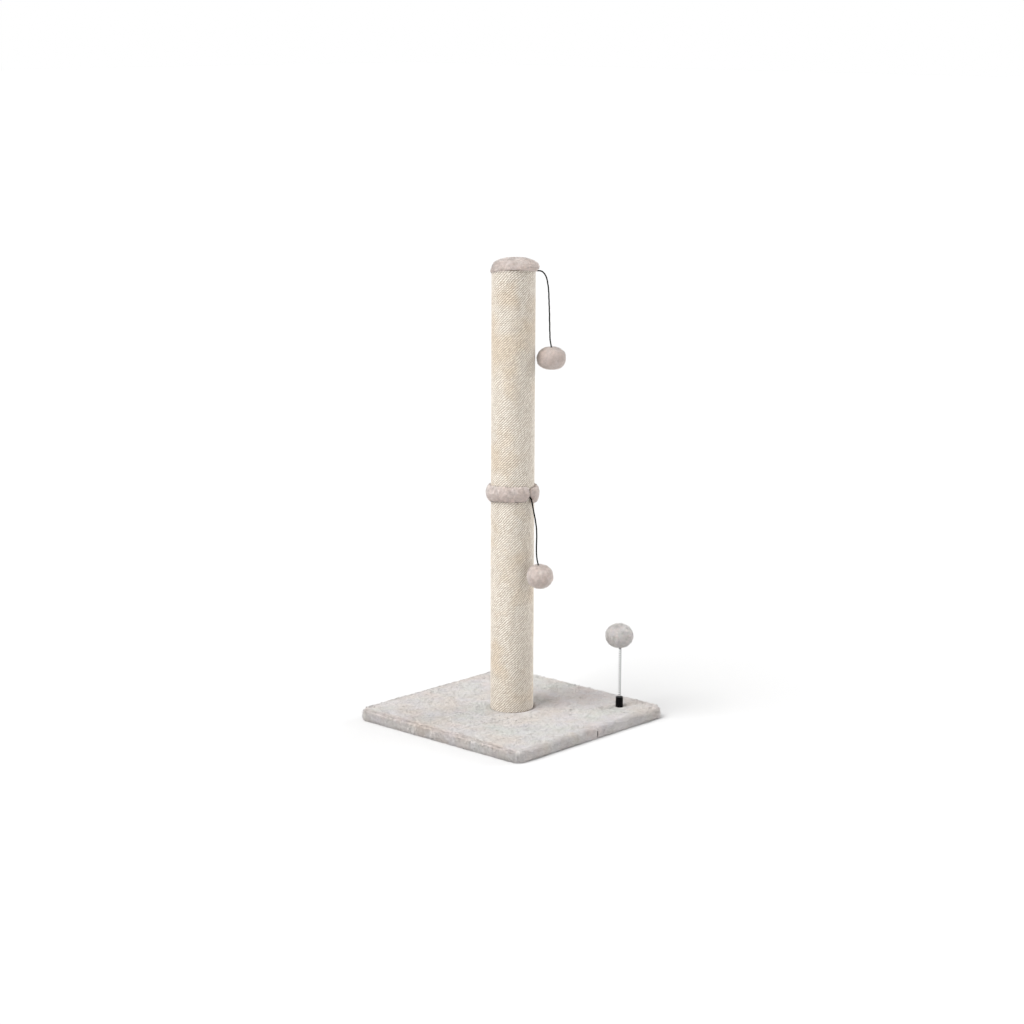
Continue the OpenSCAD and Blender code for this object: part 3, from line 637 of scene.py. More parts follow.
def refine(skin, depth, size, seed):
    """Subdivides a skin once and gives it fine uneven relief along its normals."""
    smooth = skin.modifiers.new("smooth", "SUBSURF")
    smooth.levels = smooth.render_levels = 1
    graph = bpy.context.evaluated_depsgraph_get()
    mesh = bpy.data.meshes.new_from_object(skin.evaluated_get(graph))
    skin.modifiers.clear()
    skin.data = mesh
    points, _, normals = surface(skin)
    relief = depth * (ripple(points, size, seed) + 0.5 * ripple(points, size / 3, seed + 1))
    skin.data.vertices.foreach_set("co", (points + relief[:, None] * normals).ravel())
    skin.data.update()
    return skin


def dressed(piece, body, nodes=()):
    """Seats a piece on its body and hides the plain solids it stands for."""
    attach(piece, body)
    if nodes:
        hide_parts(*nodes)
    return piece


# Stage


class POST_OT_stage(bpy.types.Operator):
    """Makes the camera, the soft light and the pale floor"""

    bl_idname = "post.stage"
    bl_label = "Stage"

    # The camera's place, from the photograph's perspective
    azimuth = math.radians(-47.504)
    elevation = math.radians(11.71)
    roll = math.radians(0.25)
    distance = 4.451939
    target = Vector((-0.001469, 0.0, 0.395296))
    focal_px = 2419.554
    # Each lamp's azimuth, elevation and spread in degrees, and its strength
    lamps = {"key": (167, 52, 40, 2.65), "rim": (-22, 14, 34, 1.3)}
    sky_strength = 0.58
    floor_shade = 0.78
    floor_reach = 40.0

    def camera(self):
        """The camera at the photograph's viewing angle."""
        a, e = self.azimuth, self.elevation
        ahead = Vector((-math.sin(a) * math.cos(e), math.cos(a) * math.cos(e), -math.sin(e)))
        right = Vector((math.cos(a), math.sin(a), 0))
        up = right.cross(ahead)
        side = right * math.cos(self.roll) + up * math.sin(self.roll)
        top = up * math.cos(self.roll) - right * math.sin(self.roll)
        stand = self.target - ahead * self.distance
        data = bpy.data.cameras.new("camera")
        data.sensor_width = SENSOR
        data.lens = self.focal_px * SENSOR / IMAGE_W
        data.clip_end = 100
        view = add("camera", data)
        turn = Matrix((side, top, -ahead)).transposed().to_4x4()
        view.matrix_world = Matrix.Translation(stand) @ turn
        bpy.context.scene.camera = view

    def lamp(self, name, azimuth, elevation, spread, strength):
        """Soft light from one side of the sky, all angles in degrees."""
        data = bpy.data.lights.new(name, "SUN")
        data.angle = math.radians(spread)
        data.energy = strength
        lamp = add(name, data)
        a, e = math.radians(azimuth), math.radians(elevation)
        way = Vector((math.cos(a) * math.cos(e), math.sin(a) * math.cos(e), math.sin(e)))
        lamp.location = way * 3
        lamp.rotation_mode = "QUATERNION"
        lamp.rotation_quaternion = (-way).to_track_quat("-Z", "Y")

    def world(self):
        """Even pale light from all sides, white where the camera sees it."""
        world = bpy.data.worlds.new("studio")
        world.use_nodes = True
        tree = world.node_tree
        tree.nodes.clear()
        seen = node(tree, "ShaderNodeLightPath").outputs
        bright = math_node(tree, "MAXIMUM", seen["Is Camera Ray"], seen["Is Glossy Ray"])
        bright = math_node(tree, "MAXIMUM", bright, seen["Is Transmission Ray"])
        strength = spread_node(tree, bright, 0, 1, self.sky_strength, 1.0)
        light = node(tree, "ShaderNodeBackground", {"Color": (1, 1, 1, 1), "Strength": strength})
        result = node(tree, "ShaderNodeOutputWorld")
        tree.links.new(light.outputs[0], result.inputs["Surface"])
        bpy.context.scene.world = world

    def floor(self):
        """A wide white floor that keeps the object's shadow."""
        pale = full([self.floor_shade] * 3)
        material = finish_of("floor", Base_Color=pale, Roughness=0.9, Specular_IOR_Level=0.0)[0]
        corners = [(x * self.floor_reach, y * self.floor_reach, 0)
                   for x, y in ((-1, -1), (1, -1), (1, 1), (-1, 1))]
        mesh = bpy.data.meshes.new("floor")
        mesh.from_pydata(corners, [], [(0, 1, 2, 3)])
        mesh.materials.append(material)
        add("floor", mesh)

    def execute(self, context):
        self.camera()
        for name, setting in self.lamps.items():
            self.lamp(name, *setting)
        self.world()
        self.floor()
        context.scene.view_settings.view_transform = "Standard"
        return {"FINISHED"}


# Cords


def toy_line(angle, level, route, aside):
    """The points of a hanging cord in metres, from its knot in the plug to its ball's knot."""
    way = np.array([math.cos(angle), math.sin(angle), 0])
    across = np.array([-math.sin(angle), math.cos(angle), 0])
    steps = np.array(HELD_END + route)
    lean = np.interp(-steps[:, 1:], *aside) * MM
    steps = steps * MM
    up = np.array([0, 0, 1.0])
    return way * (POST_R + steps[:, :1]) + up * (level + steps[:, 1:]) + across * lean


class POST_OT_cords(bpy.types.Operator):
    """Makes the two braided elastic cords that hold the hanging balls"""

    bl_idname = "post.cords"
    bl_label = "Cords"

    sides = 12
    ring_step = 0.55 * MM
    braid_pitch = 3.4 * MM
    braid_depth = 0.05
    bend_half = 28 * MM

    def hang(self, name, course, section, joint_z, long, sizes):
        """One cord, as a braided tube along its route."""
        angle, route, aside = course
        knots = toy_line(angle, section - sizes.cord_drop, route, aside)
        line = spline(knots, self.ring_step)
        guide = np.tile([-math.sin(angle), math.cos(angle), 0], (len(line), 1))
        along = np.concatenate([[0], np.cumsum(np.linalg.norm(np.diff(line, axis=0), axis=1))])
        turn = TURN * np.arange(self.sides) / self.sides
        wave = TURN * along[:, None] / self.braid_pitch
        crossing = np.cos(3 * turn + wave) * np.cos(3 * turn - wave)
        radius = sizes.cord_d / 2 * (1 + self.braid_depth * (crossing - 0.4))
        piece = grid_piece(f"{name}_cord_braid", tube(line, radius, self.sides, guide),
                           FINISHES["elastic_cord"])
        # Painted highlight on the raised crossings of the braid
        mark(piece, "lift", ease(crossing, -0.2, 1).ravel())
        middle = line[np.abs(line[:, 2] - joint_z).argmin()]
        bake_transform(piece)
        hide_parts(f"{name}_cord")

    def execute(self, context):
        sizes = context.scene.post_sizes
        joints = {j["name"]: j["pos_m"][2] for j in frame["joints"]}
        self.hang("upper_toy", (UPPER_ANGLE, UPPER_ROUTE, ((0, 1), (0, 0))), HEAD_Z,
                  joints["upper_toy_swing"], UPPER_LENGTH, sizes)
        self.hang("lower_toy", (LOWER_ANGLE, LOWER_ROUTE, LOWER_ASIDE), JOINT_Z,
                  joints["lower_toy_swing"], LOWER_LENGTH, sizes)
        return {"FINISHED"}


# Rope


class POST_OT_rope(bpy.types.Operator):
    """Winds the sisal rope round both sections of the post"""

    bl_idname = "post.rope"
    bl_label = "Rope"

    # Where the rings of one mark lie in it: one in the valley, two on the strand
    ring_places = np.array([0, 0.26, 0.74])
    # Share of a strand by which the marks of each turn lie further back than those below
    mark_slip = 0.2
    # Share of a strand by which the lines of marks wander
    wander = 0.3
    flatness = 2.8
    # Where round the post the rope begins
    start_angle = math.radians(47)
    # Where the rope's section has its points, from below to above, and the one at its back
    section = np.radians([-80, -46, -15, 15, 46, 80, 180])

    def wind(self, name, low, high, seed, sizes):
        """One rope from the foot to the head of a section."""
        d = sizes.rope_d
        centre_r = POST_R - d / 2
        marks = sizes.strand_marks + self.mark_slip
        turns = round((high - low - d) / d)
        step = len(self.ring_places)
        count = round(turns * marks) * step
        index = np.arange(count + 1)[:, None]
        rng = np.random.default_rng(seed)
        uneven = np.repeat(rng.normal(0, 0.06, count // step + 1), step)[:count + 1, None]
        sunk = index / step * TURN / marks
        spot = np.concatenate([POST_R * np.cos(sunk), POST_R * np.sin(sunk),
                               low + (high - low) * index / count], axis=1)[:, None]
        uneven = uneven + self.wander * ripple(spot, 16 * MM, seed + 2)
        along = (index // step + self.ring_places[index % step] + uneven) * TURN / marks
        around = self.section[None, :]
        rise = np.sign(np.sin(around)) * np.abs(np.sin(around)) ** (2 / self.flatness)
        rise = np.where(around > 3, 0.0, rise)
        slant = (1 - self.mark_slip) * TURN / marks
        angle = along + rise / 2 * slant + self.start_angle
        climb = low + d / 2 + (high - low - d) * index / count
        place = np.concatenate([np.cos(angle)[..., None], np.sin(angle)[..., None],
                                (climb + 0 * angle)[..., None] * 6], axis=-1)
        drift = ripple(place * 20 * MM, 9 * MM, seed)
        swell = 1 + 0.018 * ripple(place * 30 * MM, 4 * MM, seed + 1)
        dull = np.repeat(0.3 * rng.random(count // step + 1) ** 1.6, step)[:count + 1, None]
        valley = np.where(index % step == 0, 1.0, 0.0) * (around < 3)
        depth = sizes.strand_depth * (1 + 0.25 * drift)
        ends = np.minimum(index, count - index) / step * TURN / marks * centre_r
        whole = d / 2 * swell * (0.55 + 0.45 * ease(ends, 0, 12 * MM))
        radius = whole - depth * valley
        bow = 0.8 + 0.2 * np.abs(np.cos(around)) ** (2 / self.flatness)
        out = centre_r + radius * bow + 0.1 * MM * drift
        back = np.where(climb > HEAD_Z - d, POST_R - 1.4 * MM, TUBE_R + 0.2 * MM)
        out = np.where(around > 3, back, out)
        up = climb + whole * rise
        grid = np.stack([out * np.cos(angle), out * np.sin(angle), up], axis=-1)
        piece = grid_piece(f"{name}_winding", grid, FINISHES["sisal_rope"])
        # Painted shade between the turns; the valley attribute holds it with the valleys' painted shade and each
        # strand's random duller tone
        painted_crevice_shade = 0.12 * ease(np.abs(around), 0.9, 1.5) + 0 * angle
        mark(piece, "valley", np.maximum(np.maximum(valley, dull), painted_crevice_shade).ravel())
        run = along * centre_r + 0 * angle
        across = run - rise * slant * centre_r / 2
        strand = np.stack([rise * d / 2 + 0 * run, across, climb + 0 * run], axis=-1)
        mark(piece, "strand", strand.reshape(-1, 3))
        dressed(piece, "root", [name])

    def fray(self, name, low, high, seed, sizes):
        """Loose fibres that stand off the rope of a section."""
        rng = np.random.default_rng(seed)
        count = sizes.loose_fibres
        angle = rng.uniform(0, TURN, count)
        level = rng.uniform(low + 6 * MM, high - 6 * MM, count)
        out = np.stack([np.cos(angle), np.sin(angle), 0 * angle], axis=1)
        side = np.stack([-np.sin(angle), np.cos(angle), 0 * angle], axis=1)
        up = np.array([0, 0, 1.0])
        root = out * (POST_R - 0.35 * MM) + up * level[:, None]
        long = rng.uniform(4, 11, count)[:, None] * MM
        tilt = rng.normal(0, 0.5, count)[:, None]
        sign = rng.choice([-1, 1], count)[:, None]
        along = unit(sign * side + (0.8 + tilt) * sign * up)
        rise = rng.uniform(0.1, 0.42, count)[:, None]
        rings = []
        for share, thick in ((0, 0.13), (0.35, 0.11), (0.7, 0.08), (1, 0.02)):
            middle = root + long * (share * along + rise * (share - 0.45 * share**2) * out)
            across = unit(np.cross(along, out))
            for turn in (0, TURN / 3, 2 * TURN / 3):
                spoke = math.cos(turn) * out + math.sin(turn) * across
                rings.append(middle + thick * MM * spoke)
        verts = np.stack(rings, axis=1)
        quads = ring_faces(4, 3)
        faces = (12 * np.arange(count)[:, None, None] + quads[None]).reshape(-1, 4)
        ends = [[12 * k + c for c in cap] for k in range(count) for cap in ((2, 1, 0), (9, 10, 11))]
        piece = mesh_piece(f"{name}_loose_fibres", verts, faces, FINISHES["sisal_rope"], ends)
        mark(piece, "valley", np.full(len(piece.data.vertices), 0.05))
        mark(piece, "strand", verts.reshape(-1, 3))
        dressed(piece, "root")

    def execute(self, context):
        sizes = context.scene.post_sizes
        for seed, name in enumerate(("lower_rope", "upper_rope")):
            low, high = (corner.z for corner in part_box(name))
            high = HEAD_Z + 4 * MM if name == "upper_rope" else high
            self.wind(name, low, high, 11 + 10 * seed, sizes)
            self.fray(name, low, high, 15 + 10 * seed, sizes)
        return {"FINISHED"}


# Base


class POST_OT_base(bpy.types.Operator):
    """Makes the base's plush, drawn over the board and turned under it"""

    bl_idname = "post.base"
    bl_label = "Base"

    corner_r = 14 * MM
    edge_r = 9 * MM
    under_r = 1.6 * MM
    # The turned-under edge hangs a little below the rest between the anti-slip pads
    sag = 1.6 * MM
    seam_x = 13 * MM
    fold_w = 30 * MM
    skin_in = 0.3 * MM
    # Room that the pile takes above the skin
    pile_room = 1 * MM
    # The skin dips into a hollow round the post, which it stays just clear of
    post_gap = 0.9 * MM
    hollow_w = 7 * MM
    cloth_t = 1.4 * MM
    # Cloth that goes up each edge, for the size that the plush is cut to
    edge_cut = 20 * MM
    # Tufts, nap, how far they lie over, share that stands, and seed of each part of the pile
    piles = {"top": (49000, (0.5, -0.7, 0), 82, 0.08, 31),
             "sides": (40000, (0.3, -0.3, -0.75), 77, 0.15, 32)}
    straight = BASE_HALF - corner_r

    def outline(self):
        """Points and outward normals round the base, with more of them at corners and seam."""
        run = np.linspace(-self.straight, self.straight, 82)
        seam = self.seam_x + np.array([-5, -2.6, -1.3, -0.6, 0, 0.6, 1.3, 2.6, 5]) * MM
        with_seam = np.sort(np.concatenate([run[np.abs(run - self.seam_x) > 6.5 * MM], seam]))
        points, normals = [], []
        for side in range(4):
            turn = TURN / 4 * side
            places = with_seam if side == 0 else run
            for x in places:
                points.append((turn, x, -BASE_HALF, 0.0))
            for a in np.linspace(0, TURN / 4, 26)[1:-1]:
                points.append((turn, self.straight + self.corner_r * math.sin(a),
                               -self.straight - self.corner_r * math.cos(a), a))
        for turn, x, y, a in points:
            normals.append((math.sin(a + turn), -math.cos(a + turn)))
        spots = [(x * math.cos(t) - y * math.sin(t), x * math.sin(t) + y * math.cos(t))
                 for t, x, y, _ in points]
        return np.array(spots), np.array(normals)

    def execute(self, context):
        sizes = context.scene.post_sizes
        edge, normal = self.outline()
        top = BASE_TOP - self.pile_room
        inward = unit(edge)
        rows = []

        def lay(plan, level):
            rows.append(np.column_stack([plan, np.full(len(plan), level)]))

        hole = POST_R + self.post_gap
        for radius in (8, 24, 39.6):
            lay(inward * radius * MM, POST_Z)
        for out, drop in ((0, 2.4), (0.9, 1.2), (2.4, 0.5), (4.8, 0.1)):
            lay(inward * (hole + out * MM), top - drop * MM)
        start = inward * (hole + self.hollow_w)
        inset = edge - normal * (self.edge_r + self.skin_in)
        for share in np.linspace(0, 1, 42):
            lay(start + (inset - start) * share, top)
        for a in np.radians(np.linspace(15, 90, 6)):
            out = self.edge_r * math.sin(a) - self.edge_r - self.skin_in
            lay(edge + normal * out, top - self.edge_r * (1 - math.cos(a)))
        side_low = BASE_UNDER - self.sag + self.under_r
        for share in (0.25, 0.5, 0.75, 1):
            lay(edge - normal * self.skin_in,
                top - self.edge_r + share * (side_low - top + self.edge_r))
        for a in np.radians([30, 60, 90]):
            out = -self.under_r * (1 - math.cos(a)) - self.skin_in
            lay(edge + normal * out, side_low - self.under_r * math.sin(a))
        for share in (0.15, 0.4, 0.7, 1):
            lay(edge - normal * (self.under_r + self.fold_w * share), BASE_UNDER)
        shown = len(rows)
        under = BASE_UNDER + self.cloth_t
        lay(edge - normal * (self.fold_w + self.under_r), under)
        wall = BASE_HALF - BOARD_HALF - 0.3 * MM
        lay(edge - normal * (wall + 3 * MM), under)
        lay(edge - normal * wall, under + 0.4 * MM)
        lay(edge - normal * wall, BOARD_TOP)
        lay(edge - normal * (wall + 1.5 * MM), BOARD_TOP + 0.25 * MM)
        for share in (0.7, 0.35, 0.04):
            lay(inset * share, BOARD_TOP + 0.25 * MM)
        grid = np.array(rows)
        self.relief(grid, edge, normal, shown)
        skin = grid_piece("base_plush_cover", grid, FINISHES["base_plush"], closed_rows=True)
        points, _, normals = surface(skin)
        # Painted shade along the rounded top edges that look toward -x and +y, toward the key lamp, darkest at
        # their middle
        fan = np.exp(-(((normals[:, 2] - 0.7) / 0.28) ** 2)) * (points[:, 2] > BASE_TOP / 2)
        fan *= np.clip(normals[:, 1] * 1.2 - normals[:, 0] * 1.2, 0, 1)
        # The skin in the seam's slit is painted nearly black, for the shade inside it
        skin_marks(skin, 1 - 1.8 * fan, self.in_seam(points, 2 * MM))
        dressed(skin, "root", ["base_cover"])
        self.pile(skin, len(grid), shown, sizes)
        self.lining()
        return {"FINISHED"}

    def relief(self, grid, edge, normal, shown):
        """Soft unevenness, folds at the corners, the side's seam and the holder's dent."""
        face = grid[:shown]
        level = face[..., 2]
        outside = np.broadcast_to(np.column_stack([normal, 0 * normal[:, :1]]), face.shape)
        side = ease(level, BASE_UNDER + 1 * MM, BASE_UNDER + 6 * MM)
        side = side * (1 - ease(level, BASE_TOP - 4.5 * MM, BASE_TOP - 2 * MM))
        on_top = ease(level, BASE_TOP - 3 * MM, BASE_TOP - 1.6 * MM)
        from_post = np.linalg.norm(face[..., :2], axis=-1)
        swell = 0.45 * MM * ripple(face, 45 * MM, 3) + 0.25 * MM * ripple(face, 13 * MM, 4)
        away = ease(from_post, POST_R + 3 * MM, POST_R + 16 * MM)
        grid[:shown, :, 2] += swell * on_top * away
        wave = 0.5 * MM * ripple(face, 16 * MM, 5) + 0.35 * MM * ripple(face, 6 * MM, 6)
        seam = np.where(edge[:, 1] < -self.straight, edge[:, 0] - self.seam_x, 1.0)[None, :]
        groove = -3 * MM * np.exp(-((seam / (0.9 * MM)) ** 2))
        lips = 0.55 * MM * np.exp(-((np.abs(seam) - 2.4 * MM) / (1.5 * MM)) ** 2)
        bend = np.arctan2(normal[:, 1], normal[:, 0])
        round_it = (bend - TURN / 8) % (TURN / 4) - TURN / 8
        near = np.exp(-((round_it / 0.62) ** 4))
        corner = (np.linalg.norm(edge, axis=1) > BASE_HALF * 1.2) * near
        pleat = 0.55 * MM * np.cos(9.5 * round_it + 0.6) * corner
        fold = 0.9 * MM * (ease(round_it, -0.02, 0.02) - 0.5) * corner
        fold = fold * np.exp(-np.abs(round_it) / 0.35)
        lower = 1 - ease(level, BASE_TOP - 9 * MM, BASE_TOP - 3 * MM)
        full_low = 1.1 * MM * (1 - ease(level, BASE_UNDER + 3 * MM, BASE_UNDER + 16 * MM))
        push = wave + groove + lips + full_low + (pleat + fold)[None, :] * (0.35 + lower)
        grid[:shown] += (push * side)[..., None] * outside
        far = np.linalg.norm(face[..., :2] - self.toy_place(), axis=-1)
        dent = 1.5 * MM * (1 - ease(far, 8 * MM, 15 * MM))
        grid[:shown, :, 2] -= dent * on_top

    def pile(self, skin, rows, shown, sizes):
        """Tufts over the top and the sides, none under the post or under the base."""
        points = surface(skin)[0]
        plan, level = points[:, :2], points[:, 2]
        far = np.linalg.norm(plan, axis=1) > POST_R + 1.2 * MM
        far &= np.linalg.norm(plan - self.toy_place(), axis=1) > 8.5 * MM
        outer = np.arange(len(points)) // (len(points) // rows) < shown
        outer &= np.abs(plan).max(axis=1) > BASE_HALF - 4 * MM
        top = far & (level > BASE_TOP - 6 * MM) & (outer | (level > BASE_TOP - 3 * MM))
        sides = outer & (level <= BASE_TOP - 4 * MM) & (level > BASE_UNDER - self.sag + 0.2 * MM)
        sides &= ~self.in_seam(points, 3 * MM)
        mark(skin, "furry_top", 1.0 * top)
        mark(skin, "furry_sides", 1.0 * sides)
        for name, (count, nap, lying, standing, seed) in self.piles.items():
            hair = tufts(f"base_pile_{name}", skin, count, sizes.pile, FINISHES["base_plush"],
                         nap, lying, seed, f"furry_{name}", standing)
            dressed(hair, "root")

    def in_seam(self, points, half):
        """Which points lie in the short open seam of the front side."""
        seam = (points[:, 1] < -self.straight) & (np.abs(points[:, 0] - self.seam_x) < half)
        return seam & (np.abs(points[:, 2] - 9 * MM) < 7 * MM)

    def toy_place(self):
        """Where the spring's holder stands on the base."""
        low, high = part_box("spring_holder")
        return np.array([low.x + high.x, low.y + high.y]) / 2

    def lining(self):
        """A thin non-woven sheet under the board, puffed a little between its staples."""
        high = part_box("base_lining")[1]
        half = high.x
        spots = np.linspace(-half, half, 60)
        x, y = np.meshgrid(spots, spots, indexing="ij")
        flat = np.stack([x, y, 0 * x], axis=-1)
        rim = np.minimum(half - np.abs(x), half - np.abs(y))
        puff = 0.3 * MM * ease(rim, 0, 20 * MM) * (1 + 0.6 * ripple(flat, 30 * MM, 8))
        under = flat + np.array([0, 0, 1.0]) * (high.z - 0.4 * MM - puff * 0.9)[..., None]
        over = flat + np.array([0, 0, 1.0]) * (high.z - puff * 0.5)[..., None]
        verts = np.concatenate([under.reshape(-1, 3), over.reshape(-1, 3)])
        n = len(spots)
        i, j = (k.ravel() for k in np.meshgrid(np.arange(n - 1), np.arange(n - 1), indexing="ij"))
        quad = np.stack([i * n + j, (i + 1) * n + j, (i + 1) * n + j + 1, i * n + j + 1], axis=1)
        rim_line = (list(range(n)) + [k * n + n - 1 for k in range(1, n)]
                    + [n * n - 1 - k for k in range(1, n)] + [k * n for k in range(n - 2, 0, -1)])
        ring = np.array(rim_line)
        after = np.roll(ring, -1)
        wall = np.stack([ring, after, after + n * n, ring + n * n], axis=1)
        faces = np.concatenate([quad, quad[:, ::-1] + n * n, wall[:, ::-1]])
        piece = mesh_piece("base_lining_sheet", verts, faces, FINISHES["lining"])
        dressed(piece, "root", ["base_lining"])


# Cap, collar and balls


SKINS = []


def lathe(profile, columns, centre=(0, 0, 0)):
    """Rings of a profile of radii and heights round a vertical axis."""
    turn = TURN * np.arange(columns) / columns
    profile = np.asarray(profile, float)
    x = profile[:, :1] * np.cos(turn)
    y = profile[:, :1] * np.sin(turn)
    z = profile[:, 1:] + 0 * turn
    return np.stack([x, y, z], axis=-1) + np.asarray(centre, float)


def bulge(r, h, power, start, stop, steps):
    """Profile of a full round form, between two angles from its widest line."""
    a = np.linspace(start, stop, steps)
    across = r * np.abs(np.cos(a)) ** (2 / power)
    along = h * np.sign(np.sin(a)) * np.abs(np.sin(a)) ** (2 / power)
    return np.column_stack([across, along])


def centre_and_half(node_name):
    """Middle of a plain solid's box and half of its size."""
    low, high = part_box(node_name)
    return np.array((low + high) / 2), np.array((high - low) / 2)


def lump(name, node_name, body, slot, power, seed, off=(0, 0, 0)):
    """Filling in the room of an inner soft solid, uneven as packed filling is."""
    middle, half = centre_and_half(node_name)
    middle = middle + off
    profile = bulge(half[0], half[2], power, -TURN / 4 * 0.97, TURN / 4 * 0.97, 22)
    grid = lathe(profile, 44, middle)
    out = unit(grid - middle)
    dips = 0.5 * MM * np.abs(ripple(grid, 9 * MM, seed)) + 0.2 * MM
    piece = grid_piece(name, grid - dips[..., None] * out, FINISHES[slot])
    skin_marks(piece)
    dressed(piece, body, [node_name])


def wait_to_fill(skin, held, **later):
    """Keeps a start shape until all the plush is filled together."""
    SKINS.append({"skin": skin, "held": held, **later})


class POST_OT_cap(bpy.types.Operator):
    """Makes the padded plush cap"""

    bl_idname = "post.cap"
    bl_label = "Cap"

    # The cover sits a little off the post's middle
    shift = np.array([2.7, -2.9, 0]) * MM
    pile_room = 1.5 * MM
    thick = 1.6 * MM
    hem_w = 3 * MM
    # The hem is drawn up a little on the side that faces the camera
    hike = 6.5 * MM
    hike_way = np.array([-0.737, -0.676, 0])
    # and down on the side away from the cord
    dip = 3.5 * MM
    dip_way = np.array([-0.676, 0.737, 0])

    def profile(self, low, high, wide_z):
        """The cover's section, from its inside at the top, round the hem, to its outside."""
        skin_r = high.x - self.pile_room
        dome_h = high.z - wide_z - 1.5 * MM
        steep = TURN / 4 * 0.985
        inside = bulge(skin_r - self.thick, dome_h - 4 * MM, 2.3, steep, 0.1, 12)
        inside[:, 1] += wide_z
        flange = [(POST_R + 0.5 * MM, wide_z - 2 * MM), (POST_R + 0.4 * MM, low.z + 0.8 * MM)]
        roll = bulge(self.hem_w, wide_z - low.z, 2.0, -TURN / 4 * 0.8, 0, 8)
        roll += (skin_r - self.hem_w, wide_z)
        dome = bulge(skin_r, dome_h, 2.1, 0.07, steep, 24)
        dome[:, 1] += wide_z
        return np.vstack([inside, flange, roll, dome]), len(inside) + len(flange)

    def execute(self, context):
        low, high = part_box("cap_cover")
        wide_z = HEAD_Z + 3.8 * MM
        profile, hidden = self.profile(low, high, wide_z)
        grid = lathe(profile, 128)
        turn = np.arctan2(grid[..., 1], grid[..., 0])
        gather = np.cos(17 * turn + 2 * np.sin(3 * turn)) + 0.6 * np.cos(29 * turn + 1)
        pinch = np.exp(-(((grid[..., 2] - low.z - 1.5 * MM) / (4.5 * MM)) ** 2))
        pinch[:hidden] = 0
        out = unit(grid * np.array([1, 1, 0]))
        grid = grid + (0.4 * MM * gather * pinch)[..., None] * out
        facing = np.maximum(out @ self.hike_way, 0) ** 1.5
        beside = np.maximum(out @ self.dip_way, 0) ** 1.5
        drawn = 1 - ease(grid[..., 2], low.z + 2 * MM, wide_z + 4 * MM)
        grid[..., 2] += (self.hike * facing - self.dip * beside) * drawn
        grid = grid - (1.4 * MM * beside * drawn)[..., None] * out
        rise = ease(grid[..., 2], low.z, wide_z + 4 * MM)
        grid = grid + rise[..., None] * self.shift
        skin = grid_piece("cap_plush_cover", grid, FINISHES["warm_plush"])
        row = np.arange(len(grid))[:, None] + 0 * turn
        mark(skin, "furry", 1.0 * (row > hidden + 2).ravel())
        wait_to_fill(
            skin, (row < hidden + 3).ravel(), body="root", nodes=["cap_cover"],
            slot="warm_plush", finish="warm_plush", count=22000, nap=(0.1, -0.15, -0.55),
            fill=0.8, standing=0.12)
        self.disc()
        middle, half = centre_and_half("cap_pad")
        dome = bulge(0.88 * half[0], 1.6 * half[2], 2.15, 0, TURN / 4 * 0.97, 16)
        foot = [(1 * MM, 0), (0.5 * half[0], 0)]
        grid = lathe(np.vstack([foot, dome]), 48, middle - (0, 0, half[2]) + 0.5 * self.shift)
        uneven = 0.3 * MM * ripple(grid, 12 * MM, 41) * (grid[..., 2] > middle[2])
        grid[..., 2] += uneven
        pad = grid_piece("cap_foam_pad", grid, FINISHES["foam"])
        skin_marks(pad)
        dressed(pad, "root", ["cap_pad"])
        return {"FINISHED"}

    def disc(self):
        """The disc under the cover, with its top edge well rounded off."""
        low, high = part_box("cap_disc")
        edge = 5 * MM
        inner = np.linspace(1 * MM, high.x - edge, 6)
        corner = np.linspace(TURN / 4, 0, 8)[1:]
        top = np.column_stack([inner, 0 * inner + high.z])
        side = np.column_stack([high.x - edge + edge * np.cos(corner),
                                high.z - edge + edge * np.sin(corner)])
        under = np.column_stack([inner[::-1], 0 * inner + low.z])
        grid = lathe(np.vstack([under[::-1][:1], top, side, under]), 96, 0.3 * self.shift)
        dressed(grid_piece("cap_wood_disc", grid, FINISHES["plug_wood"]), "root",
                ["cap_disc"])


